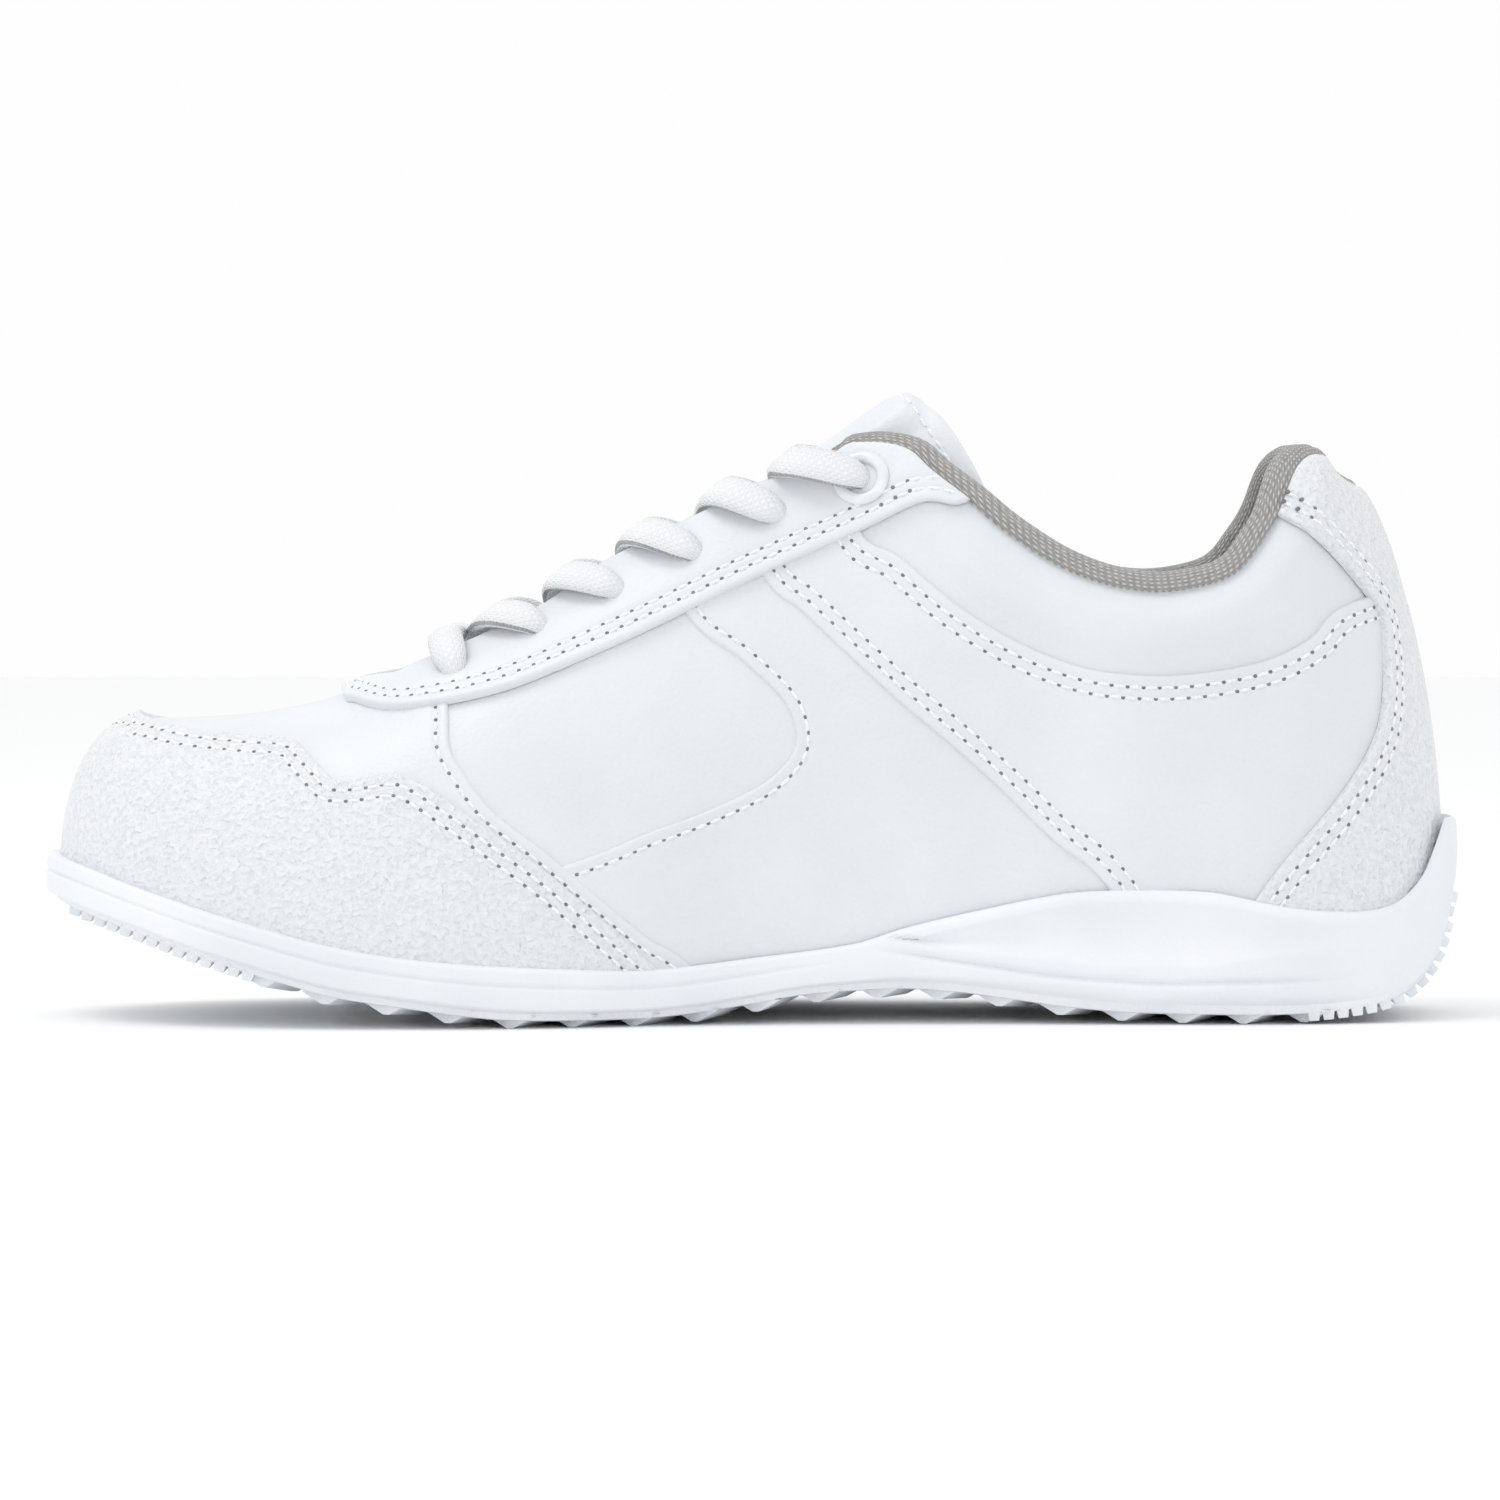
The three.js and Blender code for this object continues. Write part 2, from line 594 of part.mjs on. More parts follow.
// One half of the lace: over the edge and down through a hole, then under the
// stay and up across the tongue to the next hole of the other side.
const edges = {};
for (const side of ['medial', 'lateral']) {
  edges[side] = edgeMarks.map(([x, z]) => seat(x, z, side));
}
function laceHalf(firstSide) {
  const other = { medial: 'lateral', lateral: 'medial' };
  const lift = new THREE.Vector3(0, 0, 1);
  const crest = ({ point, normal }, over) => (
    point.clone().addScaledVector(lift, over + overlayOuter / normal.z - overlayOuter)
  );
  let side = firstSide;
  const bar = ['medial', 'lateral'].map((name) => crest(edges[name][0], overLace));
  const points = [bar[0].add(bar[1]).multiplyScalar(0.5)];
  for (let row = 0; row < holeMarks.length; row += 1) {
    const hole = holes[side][row];
    const last = row === holeMarks.length - 1;
    const over = last ? overRing : overLace;
    points.push(crest(edges[side][row], over), hole.at(over), hole.at(over / 2), hole.at(0));
    points.push(hole.at(liningInner), hole.at(underLace));
    if (!last) {
      points.push(edges[side][row].at(underLace));
      side = other[side];
    }
  }
  points.push(...tuckedRun.map(([x, z]) => seat(x, z, side).at(tuckedDepth)));
  return points;
}
const lace = cordSolid(laceHalf('medial'), laceDiameter).add(cordSolid(laceHalf('lateral'), laceDiameter));
addPart('lace', lace, laceWeave);

// The two ends hang down inside, between the lining and the foot, and lie on the
// footbed along its edge. Each ends in its aglet.
const laceEnds = {
  medial: [
    [12.9, -17.7, 73.2], [12.8, -18.6, 68], [13, -19.8, 60], [16, -20.8, 50], [21, -21.2, 41],
    [28, -21.6, 33], [36, -22, 27], [44.5, -22.3, 23], [52.5, -22.8, 21.2], [62.5, -23.4, 20.9],
    [74, -23.6, 21.2], [86, -22.6, 21.5], [95, -20.6, 21.8],
  ],
  lateral: [
    [12.9, 25.4, 73], [12.6, 26.6, 67], [13, 28.2, 59], [16, 29.2, 49], [20.5, 29.4, 41],
    [27.5, 28.8, 33], [35.5, 27.9, 27], [43.5, 27, 23], [51.5, 26.2, 21.2], [61.5, 25.2, 20.9],
    [74, 24.3, 21.2], [86, 22.9, 21.5], [95, 20.6, 21.8],
  ],
};
for (const side of ['medial', 'lateral']) {
  const points = laceEnds[side].map((xyz) => new THREE.Vector3(...xyz));
  addPart(`lace_end_${side}`, cordSolid(points, laceDiameter), laceWeave);
  const tip = points.at(-1);
  const heading = tip.clone().sub(points.at(-2)).normalize();
  const aglet = new THREE.CylinderGeometry(agletDiameter / 2, agletDiameter / 2, agletLength, 10);
  aglet.translate(0, agletLength / 2 + fitGap, 0);
  aglet.applyQuaternion(new THREE.Quaternion().setFromUnitVectors(new THREE.Vector3(0, 1, 0), heading));
  aglet.translate(tip.x, tip.y, tip.z);
  addPart(`aglet_${side}`, toSolid(aglet), agletPlastic);
}

// ---------- sole ----------

// A plate or body whose edge follows the ground outline, built from levels of
// [outward offset, height line], from the lowest to the highest.
function soleBody(levels) {
  const points = [];
  const ring = levels.map(([offset, height]) => {
    const start = points.length / 3;
    for (let i = 0; i < columns; i += 1) {
      const turn = i / columns;
      const foot = groundLoop.getPoint(turn);
      const heading = groundLoop.getTangent(turn);
      const x = foot.x + heading.y * offset;
      const y = foot.y - heading.x * offset;
      points.push(x, y, height(x));
    }
    return start;
  });
  const faces = [];
  for (let level = 0; level < levels.length - 1; level += 1) {
    for (let i = 0; i < columns; i += 1) {
      const j = (i + 1) % columns;
      faces.push(ring[level] + i, ring[level] + j, ring[level + 1] + j);
      faces.push(ring[level] + i, ring[level + 1] + j, ring[level + 1] + i);
    }
  }
  const cap = (start, upward) => {
    for (let i = 0; i < columns / 2; i += 1) {
      const quad = [i, i + 1, columns - i - 1, (columns - i) % columns].map((k) => start + k);
      const [a, b, c, d] = upward ? quad : [...quad].reverse();
      for (const face of [[a, b, c], [a, c, d]]) {
        if (new Set(face).size === 3) faces.push(...face);
      }
    }
  };
  cap(ring[0], false);
  cap(ring.at(-1), true);
  const geometry = new THREE.BufferGeometry();
  geometry.setAttribute('position', new THREE.Float32BufferAttribute(points, 3));
  geometry.setIndex(faces);
  return toSolid(geometry.toNonIndexed());
}

const midsoleUnder = (x) => soleLine(x) + outsolePlate + fitGap - 0.1;
const bottomInset = 3;
const midsoleBody = soleBody([
  [soleEdge - bottomInset, midsoleUnder],
  [soleEdge, (x) => midsoleUnder(x) + 2.5],
  [soleEdge, (x) => rimLine(x) - 1],
  [soleEdge - 0.6, rimLine],
]);
const cup = grownLast(cupDepth).subtract(below(floorAt(-fitGap)));
addPart('midsole', midsoleBody.subtract(cup), foamRubber);

const plateInset = 1.2;
const plateTop = (x) => soleLine(x) + outsolePlate - 0.1;
const plateBottom = (x) => soleLine(x) - 0.1;
const plate = soleBody([
  [soleEdge - bottomInset - plateInset, plateBottom],
  [soleEdge - bottomInset - plateInset, plateTop],
]);
const lugTip = (x) => Math.max(0, soleLine(x) - 0.1 - lugHeight);
const lugRoot = (x) => soleLine(x) + 0.4;
const lugStations = Array.from({ length: 27 }, (_, i) => gradeX(-130 + i * 10));
const lugSlab = sidePrism([
  ...lugStations.map((x) => [x, lugTip(x)]),
  ...[...lugStations].reverse().map((x) => [x, lugRoot(x)]),
]);
const lugColumn = soleBody([
  [soleEdge - bottomInset - plateInset - 0.8, () => -5],
  [soleEdge - bottomInset - plateInset - 0.8, () => 60],
]);
const lugField = lugColumn.intersect(lugSlab);
const zigWave = 50;
const zigDepth = 4;
const zigCount = 6;

// One zigzag bar across the sole at x
function zigBar(x) {
  const edge = (shift) => Array.from({ length: zigCount }, (_, i) => (
    [x + shift + (i % 2 ? zigDepth : -zigDepth) / 2, ((i - (zigCount - 1) / 2) * zigWave) / 2]
  ));
  const outlinePoints = [...edge(-lugWidth / 2), ...edge(lugWidth / 2).reverse()];
  const shape = new THREE.Shape(outlinePoints.map(([px, py]) => new THREE.Vector2(px, py)));
  const geometry = new THREE.ExtrudeGeometry(shape, { depth: 80, bevelEnabled: false });
  geometry.translate(0, 0, -10);
  return toSolid(geometry);
}
const lugRuns = [[-118, -4], [56, 122]];
let outsole = plate;
for (const [from, to] of lugRuns) {
  for (let x = gradeX(from); x < gradeX(to); x += lugPitch) {
    outsole = outsole.add(lugField.intersect(zigBar(x)));
  }
}
addPart('outsole', outsole, soleRubber);

const slab = (depth, low, high) => grownLast(depth).intersect(below(floorAt(high))).subtract(below(floorAt(low)));
const foamLow = boardThickness + fitGap;
const clothLow = foamLow + footbedPadding + fitGap;
const boardDepth = baseInner - fitGap;
const footbedDepth = liningInner - fitGap;
addPart('insole_board', slab(boardDepth, 0, boardThickness), boardFibre);
addPart('footbed_foam', slab(footbedDepth, foamLow, foamLow + footbedPadding), padding);
addPart('footbed_cloth', slab(footbedDepth, clothLow, clothLow + footbedClothThickness), greyKnit);

// The frame's origin lies on the ground under the middle of the box
const box = new THREE.Box3().setFromObject(shoe);
const middle = box.getCenter(new THREE.Vector3());
shoe.position.set(-middle.x, -middle.y, -box.min.z);

export default shoe;
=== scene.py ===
"""A low white cheer shoe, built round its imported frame.

The upper is worked out on the last: the foot form of the part's source, at a
fine grid. Each piece is cut from that skin by its seam lines, gets its
thickness, its rolled edge and the pull of its stitches, and sits over or
under its neighbours as a shoemaker lays them.
Lengths are in millimetres until a mesh is made, and then in metres.
"""
import math

import bpy
import numpy as np
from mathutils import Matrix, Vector


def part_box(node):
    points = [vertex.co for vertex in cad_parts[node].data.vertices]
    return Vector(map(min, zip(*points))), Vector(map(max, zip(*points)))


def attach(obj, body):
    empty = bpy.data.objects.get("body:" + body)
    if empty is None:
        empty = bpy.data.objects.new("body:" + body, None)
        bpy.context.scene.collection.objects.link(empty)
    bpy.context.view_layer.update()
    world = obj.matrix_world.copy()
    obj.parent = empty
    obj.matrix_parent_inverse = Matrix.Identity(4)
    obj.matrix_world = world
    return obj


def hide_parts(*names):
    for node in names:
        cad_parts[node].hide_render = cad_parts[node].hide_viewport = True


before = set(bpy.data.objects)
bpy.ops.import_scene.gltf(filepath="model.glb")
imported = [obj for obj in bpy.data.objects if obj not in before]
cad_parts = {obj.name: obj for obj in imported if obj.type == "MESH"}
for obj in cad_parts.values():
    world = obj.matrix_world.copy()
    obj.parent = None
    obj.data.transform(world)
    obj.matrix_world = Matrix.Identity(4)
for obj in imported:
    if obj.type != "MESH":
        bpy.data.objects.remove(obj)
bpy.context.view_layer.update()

MM = 0.001


# ---------- curves ----------

def track(knots):
    """A smooth function through (x, value) knots, flat beyond its ends."""
    xs, ys = (np.array(column, float) for column in zip(*knots))
    before = np.maximum(np.arange(len(xs)) - 1, 0)
    after = np.minimum(np.arange(len(xs)) + 1, len(xs) - 1)
    slope = (ys[after] - ys[before]) / (xs[after] - xs[before])

    def value(x):
        x = np.clip(np.asarray(x, float), xs[0], xs[-1])
        i = np.clip(np.searchsorted(xs, x, side="right") - 1, 0, len(xs) - 2)
        span = xs[i + 1] - xs[i]
        s = (x - xs[i]) / span
        rise = s * s * (3 - 2 * s)
        lead = s * (1 - s) ** 2 * span
        tail = s * s * (s - 1) * span
        return ys[i] * (1 - rise) + ys[i + 1] * rise + slope[i] * lead + slope[i + 1] * tail

    return value


def rounded(p0, p1, p2, p3, s):
    """The point a share s of the way from p1 to p2, on a curve that also heeds their neighbours."""
    return 0.5 * (2 * p1 + (p2 - p0) * s + (2 * p0 - 5 * p1 + 4 * p2 - p3) * s ** 2
                  + (3 * p1 - p0 - 3 * p2 + p3) * s ** 3)


def smooth_line(points, step=1.2):
    """A line through points, rounded between them, with a point every step."""
    points = np.array(points, float)
    ends = np.vstack([2 * points[0] - points[1], points, 2 * points[-1] - points[-2]])
    out = []
    for i in range(1, len(ends) - 2):
        near = ends[i - 1:i + 3]
        count = max(2, int(np.linalg.norm(near[2] - near[1]) / step))
        out += [rounded(*near, s) for s in np.arange(count) / count]
    out.append(points[-1])
    return np.array(out)


def distance_along(line):
    return np.concatenate([[0], np.cumsum(np.linalg.norm(np.diff(line, axis=0), axis=1))])


def ease(value, low, high):
    s = np.clip((value - low) / (high - low), 0, 1)
    return s * s * (3 - 2 * s)


# ---------- the last, as the part's source draws it ----------

floor_line = track([
    (-134, 26), (-115, 20.5), (-96, 14.8), (-77, 10), (-58, 7.2), (-39, 6.2), (-20, 6.2),
    (0, 7.6), (28, 10.2), (66, 12.4), (104, 13.4), (134, 13.8)])
rim_line = track([
    (-134, 31.5), (-124.4, 28.8), (-115, 25.7), (-96, 20), (-77, 15.1), (-58, 12.4), (-30, 10.7),
    (-18, 10.5), (0, 12.4), (19, 14.9), (28, 17.7), (38, 20.2), (57, 24.2), (66, 25), (85, 24.8),
    (95, 22.9), (104, 21.4), (114, 21), (119.7, 21.9), (123.5, 24), (127.3, 28.2), (129.5, 33),
    (131.5, 37.8)])
sole_line = track([
    (-134, 23), (-115, 17.4), (-105, 13.9), (-96, 11.1), (-86, 8.2), (-77, 5.9), (-67, 4.4),
    (-58, 3.1), (-48, 1.9), (-38, 1.5), (-20, 1.6), (-10, 2.5), (0, 4), (9, 5.5), (19, 6.3),
    (28, 6.7), (38, 6.1), (47, 5), (57, 3.6), (66, 2.7), (76, 2.2), (100, 2.0), (112, 2.9),
    (121, 4.8), (126, 8), (129.3, 12.2), (131.6, 18), (133.5, 25)])
ridge_start = track([
    (-131, -112), (-110, -103), (-90, -87), (-60, -60), (-20, -20), (20, 13), (60, 38), (100, 58),
    (131, 70)])
ridge_line = track([
    (-113, 56.4), (-96, 57.2), (-84, 59.3), (-77.5, 61.2), (-70, 64.6), (-61.5, 69.5), (-40.5, 80.5),
    (-28, 89), (-14, 97), (2.4, 107), (11.3, 113), (24.3, 122), (30, 125.6), (50, 131), (70, 131)])
squareness = track([
    (-131, 2.4), (-80, 2.2), (-28, 2.05), (2, 2.2), (60, 2.7), (100, 2.6), (131, 2.3)])
OUTLINE = [
    (-130.2, -3, -3), (-126, -18, 11), (-113, -32, 25), (-92, -40.5, 36.5), (-67, -43.5, 43.5),
    (-42, -41.5, 46), (-15, -33.5, 43.5), (12, -28.5, 38), (40, -28.5, 34), (70, -30.5, 31.5),
    (98, -30.5, 30.5), (117, -24.5, 24.5), (127.2, -13, 13), (130.4, 0, 0)]
GROUND = np.array([(x, y) for x, y, _ in OUTLINE] + [(x, y) for x, _, y in OUTLINE[-2:0:-1]])


def ground(turn):
    """The last's ground outline, once round from the toe over the medial side."""
    place = (np.asarray(turn, float) % 1) * len(GROUND)
    i = np.floor(place).astype(int)
    return rounded(*(GROUND[(i + k) % len(GROUND)] for k in (-1, 0, 1, 2)), (place - i)[..., None])


def outward(turn, reach=1e-4):
    """Unit vectors in the plan that point out of the outline."""
    along = ground(turn + reach) - ground(turn - reach)
    along /= np.linalg.norm(along, axis=-1, keepdims=True)
    return np.stack([along[..., 1], -along[..., 0]], axis=-1)


def skin(turn, climb):
    """The last's surface: once round the ground outline, and up from it to the ridge."""
    foot = ground(turn)
    twin = ground((1 - turn) % 1)
    middle = (foot[..., 0] + twin[..., 0]) / 2
    top = ridge_start(middle)
    floor = floor_line(foot[..., 0])
    power = 2 / squareness(middle)
    across = np.maximum(0, np.cos(climb * math.pi / 2)) ** power
    up = np.sin(climb * math.pi / 2) ** power
    return np.stack([
        top + (foot[..., 0] - top) * across,
        foot[..., 1] * across,
        floor + (ridge_line(top) - floor) * up], axis=-1)


# The frame's own shift, read from the sole's box
_low, _high = (np.array(corner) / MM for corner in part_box("midsole"))
SOLE_EDGE = 3.6
_rim = ground(np.linspace(0, 1, 400)) + outward(np.linspace(0, 1, 400)) * SOLE_EDGE
SHIFT = np.array([*(((_low + _high)[:2] - _rim.min(axis=0) - _rim.max(axis=0)) / 2), 0.0])


class Skin:
    """The skin as a grid of points with their normals and faces."""

    def __init__(self, columns, rows):
        turn, climb = np.meshgrid(np.arange(columns) / columns, np.arange(rows + 1) / rows, indexing="ij")
        index = np.arange(columns * (rows + 1)).reshape(columns, rows + 1)
        for i in range(columns // 2 + 1, columns):
            index[i, rows] = index[columns - i, rows]
        a, b = index[:, :-1], np.roll(index, -1, axis=0)[:, :-1]
        c, d = np.roll(index, -1, axis=0)[:, 1:], index[:, 1:]
        faces = np.concatenate([
            np.stack([a, b, c], -1).reshape(-1, 3), np.stack([a, c, d], -1).reshape(-1, 3)])
        distinct = ((faces[:, 0] != faces[:, 1]) & (faces[:, 1] != faces[:, 2])
                    & (faces[:, 0] != faces[:, 2]))
        self.faces = faces[distinct]
        self.turn = turn.ravel()
        self.points = skin(turn, climb).reshape(-1, 3)
        self.normals = vertex_normals(self.points, self.faces)
        self.index = index


def vertex_normals(points, faces):
    corner = points[faces]
    normal = np.cross(corner[:, 1] - corner[:, 0], corner[:, 2] - corner[:, 0])
    total = np.zeros_like(points)
    for k in range(3):
        np.add.at(total, faces[:, k], normal)
    return total / np.maximum(np.linalg.norm(total, axis=1, keepdims=True), 1e-12)


def side_distance(line, points, normals):
    """How far each point lies to the left of a line seen from the side, along the surface."""
    flat = points[:, [0, 2]]
    best = np.full(len(flat), np.inf)
    signed = np.zeros(len(flat))
    gradient = np.zeros_like(flat)
    for a, b in zip(line[:-1], line[1:]):
        along = b - a
        length = np.linalg.norm(along)
        along = along / length
        off = flat - a
        near = np.clip(off @ along, 0, length)
        gap = off - near[:, None] * along
        distance = np.linalg.norm(gap, axis=1)
        side = along[0] * off[:, 1] - along[1] * off[:, 0]
        closer = distance < best - 1e-9
        best = np.where(closer, distance, best)
        signed = np.where(closer, np.sign(side) * distance, signed)
        unit = gap / np.maximum(distance, 1e-9)[:, None]
        gradient = np.where(closer[:, None], unit, gradient)
    slant = gradient[:, 0] * normals[:, 0] + gradient[:, 1] * normals[:, 2]
    return signed / np.sqrt(np.maximum(1 - slant ** 2, 0.12))


# ---------- seam lines, seen from the side ----------

LINES = {name: smooth_line(points) for name, points in {
    "vamp": [(2, -4), (-11.9, 11.4), (-19.5, 16.4), (-29.1, 24.4), (-38.6, 32.6), (-48.2, 40),
             (-53.9, 47.3), (-56.4, 52.1), (-56.9, 59.7), (-59, 74)],
    "window": [(-46, 26.5), (-29.1, 32), (-19.5, 35.9), (-10, 39.3), (-0.5, 43.5), (4.3, 46.7),
               (7.9, 51.1), (7.9, 55.9), (5.2, 61.2), (-2.4, 68.3), (-12.3, 76.5), (-21, 98)],
    "diagonal": [(82, 2), (66.3, 25.7), (56.7, 33.9), (47.2, 43.1), (37.7, 51.7), (28.1, 59.7),
                 (18.6, 68.3), (9.1, 77.2), (2.4, 83), (-9, 104)],
    "collar": [(16.5, 122), (19.5, 94), (28.1, 87), (37.7, 78.8), (47.2, 72.7), (56.7, 68.3),
               (66.3, 65.8), (80, 65.3), (94.9, 67.7), (104.4, 72.1), (112, 78.5), (140, 86)],
    "eyestay": [(-79.5, 72), (-77.5, 61.2), (-74.9, 59.7), (-67.6, 58.4), (-57.7, 59.5), (-48.2, 61.6),
                (-38.6, 65), (-19.5, 73.4), (-0.5, 82.6), (18.6, 91.2), (31.9, 97.3), (40.5, 97.6),
                (50, 110)],
    "heel": [(84, 8), (96.8, 27.3), (108.2, 40.6), (114.3, 49.2), (117.4, 55.9), (118.5, 63.5),
             (118.3, 71.1), (116.8, 77.8), (109.2, 86.4), (98.7, 95), (90, 103)],
    "toe": [(-150, 57), (-119, 56.6), (-114.9, 55.5), (-105.4, 53.4), (-95.8, 52.6), (-86.3, 52.1),
            (-82.9, 49.8), (-78.7, 46), (-76.4, 45), (-67.2, 46.3), (-64.9, 46.3), (-61.5, 44.8),
            (-55.8, 41.2), (-48.2, 35.9), (-38.6, 28.8), (-29.1, 20.6), (-18.2, 10.7), (-6, -2)],
    "collar_edge": [(18.6, 108.3), (25.3, 108.3), (30, 107), (33.8, 103.5), (40.5, 98.4), (47.2, 92.7),
                    (56.7, 86.4), (66.3, 82.6), (75.8, 81.2), (85.3, 82.6), (91.1, 85.4), (95.8, 91.2),
                    (98.7, 95.9), (102.5, 104.5), (107.3, 106.2), (115.3, 100.1), (150, 95)],
    "throat": [(-67.2, 64.3), (-61.5, 66.7), (-40.5, 76.5), (-28.1, 85.1), (-13.8, 92.5),
               (2.4, 100.7), (11.3, 103.5), (18.6, 108.3)],
    "tongue": [(8, 121), (22, 121), (30, 118.2), (36, 114.5), (41.5, 106.2), (45.3, 97.5), (44.5, 93.5),
               (40, 90.8), (34, 89), (14, 82.5), (-10, 72.5), (-34, 62), (-52, 54), (-66, 49), (-78, 46),
               (-88, 43.5)],
}.items()}
THROAT_FRONT = (-72.5, 5.0)
THROAT_REAR = (34.0, 11.5)


# ---------- mesh making ----------

def in_scene(name, data):
    thing = bpy.data.objects.new(name, data)
    bpy.context.scene.collection.objects.link(thing)
    return thing


def to_mesh(name, points, faces, smooth=True, uv=None):
    mesh = bpy.data.meshes.new(name)
    mesh.from_pydata((np.asarray(points) + SHIFT) * MM, [], [tuple(int(k) for k in face) for face in faces])
    mesh.validate()
    mesh.update()
    if smooth:
        mesh.shade_smooth()
    if uv is not None:
        layer = mesh.uv_layers.new(name="UVMap")
        corner = np.empty(len(mesh.loops), dtype=np.int32)
        mesh.loops.foreach_get("vertex_index", corner)
        layer.data.foreach_set("uv", (np.asarray(uv)[corner] * MM).ravel())
    return in_scene(name, mesh)


def place(piece, body, finish, *nodes):
    """Gives a finished piece its body and the material of its finish, and hides the nodes it stands for."""
    material, slot = finish
    if material is not None:
        piece.data.materials.clear()
        piece.data.materials.append(material)
    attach(piece, body)
    if nodes:
        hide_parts(*nodes)
    return piece


def split(table, faces, column, level):
    """Cuts triangles along a level of one column. Returns the table, the faces and which are above."""
    value = table[:, column] - level
    value = np.where(np.abs(value) < 1e-4, 0.0, value)
    above = value >= 0
    count = above[faces].sum(axis=1)
    plain = (count == 0) | (count == 3)
    kept, flags = [faces[plain]], [count[plain] == 3]
    mixed = faces[~plain]
    if not len(mixed):
        return table, faces, count == 3
    lone_above = above[mixed].sum(axis=1) == 1
    lone = np.where(lone_above[:, None], above[mixed], ~above[mixed]).argmax(axis=1)
    order = (lone[:, None] + np.arange(3)) % 3
    mixed = np.take_along_axis(mixed, order, axis=1)
    pairs = np.concatenate([mixed[:, [0, 1]], mixed[:, [0, 2]]])
    keys, inverse = np.unique(np.sort(pairs, axis=1), axis=0, return_inverse=True)
    inverse = inverse.ravel()
    start, end = value[keys[:, 0]], value[keys[:, 1]]
    share = (start / (start - end))[:, None]
    fresh = table[keys[:, 0]] * (1 - share) + table[keys[:, 1]] * share
    fresh[:, column] = level
    first = len(table) + inverse[:len(mixed)]
    second = len(table) + inverse[len(mixed):]
    a, b, c = mixed.T
    kept += [np.stack([a, first, second], 1), np.stack([first, b, c], 1), np.stack([first, c, second], 1)]
    flags += [lone_above, ~lone_above, ~lone_above]
    return np.vstack([table, fresh]), np.concatenate(kept), np.concatenate(flags)


def used_only(table, faces):
    used, inverse = np.unique(faces, return_inverse=True)
    return table[used], inverse.reshape(faces.shape)


def edges_of(faces):
    return np.concatenate([faces[:, [0, 1]], faces[:, [1, 2]], faces[:, [2, 0]]])


def rim_edges(faces):
    """The edges that only one face has, in that face's direction."""
    edges = edges_of(faces)
    keys, inverse, count = np.unique(np.sort(edges, axis=1), axis=0, return_inverse=True, return_counts=True)
    return edges[count[inverse.ravel()] == 1]


def thicken(outer, inner, faces):
    """A closed skin from an outer and an inner sheet with the same faces."""
    count = len(outer)
    edges = rim_edges(faces)
    walls = np.concatenate([
        np.stack([edges[:, 1], edges[:, 0], edges[:, 0] + count], 1),
        np.stack([edges[:, 1], edges[:, 0] + count, edges[:, 1] + count], 1)])
    return np.vstack([outer, inner]), np.concatenate([faces, faces[:, ::-1] + count, walls])


def level_lines(table, faces, column, level):
    """The lines where a column of the table holds a level, as chains of row numbers."""
    on = np.abs(table[:, column] - level) < 2e-4
    edges = edges_of(faces)
    edges = np.unique(np.sort(edges[on[edges].all(axis=1)], axis=1), axis=0)
    links = {}
    for a, b in edges:
        links.setdefault(int(a), []).append(int(b))
        links.setdefault(int(b), []).append(int(a))
    chains = []
    while links:
        ends = [k for k, near in links.items() if len(near) == 1]
        here = ends[0] if ends else next(iter(links))
        chain = [here]
        while True:
            near = links.get(here, [])
            if not near:
                links.pop(here, None)
                break
            following = near[0]
            links[here].remove(following)
            links[following].remove(here)
            if not links[here]:
                links.pop(here)
            here = following
            chain.append(here)
        if len(chain) > 4:
            chains.append(chain)
    return chains


# ---------- the fine skin and its distances ----------

COLUMNS, ROWS = 480, 108
BINDING = 3.9
TONGUE_DEPTH = 9.6
fields = {}


def seat(x, z, side):
    """The place and the outward direction on the skin that is seen from one side at x, z."""
    turns, climbs = np.meshgrid(np.linspace(0.01, 0.49, 97), np.linspace(0.02, 1, 99), indexing="ij")
    if side == "lateral":
        turns = 1 - turns
    share = np.array([turns.ravel(), climbs.ravel()])
    here = skin(share[0], share[1])
    best = np.argmin((here[:, 0] - x) ** 2 + (here[:, 2] - z) ** 2)
    turn, climb = share[:, best]
    small = 1e-4
    for _ in range(12):
        p = skin(turn, climb)
        along = (skin(turn + small, climb) - p) / small
        up = (p - skin(turn, climb - small)) / small
        slope = np.array([[along[0], up[0]], [along[2], up[2]]])
        step = np.linalg.lstsq(slope, np.array([x - p[0], z - p[2]]), rcond=None)[0]
        turn = turn + np.clip(step[0], -0.01, 0.01)
        climb = min(1 - small, climb + np.clip(step[1], -0.03, 0.03))
    p = skin(turn, climb)
    along = skin(turn + small, climb) - p
    up = p - skin(turn, climb - small)
    normal = np.cross(along, up)
    normal /= np.linalg.norm(normal)
    return p, normal if normal[2] > 0 else -normal


def throat_outline():
    """The throat's edge as a closed loop seen from above, rounded at the front."""
    medial, lateral = ([seat(x, z, side)[0][:2] for x, z in LINES["throat"][::3]]
                       for side in ("medial", "lateral"))
    front, rear = THROAT_FRONT, THROAT_REAR
    loop = smooth_line([*medial[::-1], (front[0], -front[1]), front, *lateral])
    return np.array([(rear[0], -rear[1]), *loop, rear, (rear[0], -rear[1])])


def plan_distance(loop, points, normals):
    """How far each point lies to the left of a closed loop seen from above, along the surface."""
    turned = np.stack([points[:, 0], points[:, 0] * 0, points[:, 1]], 1)
    lean = np.stack([normals[:, 0], normals[:, 0] * 0, normals[:, 1]], 1)
    return side_distance(loop, turned, lean)


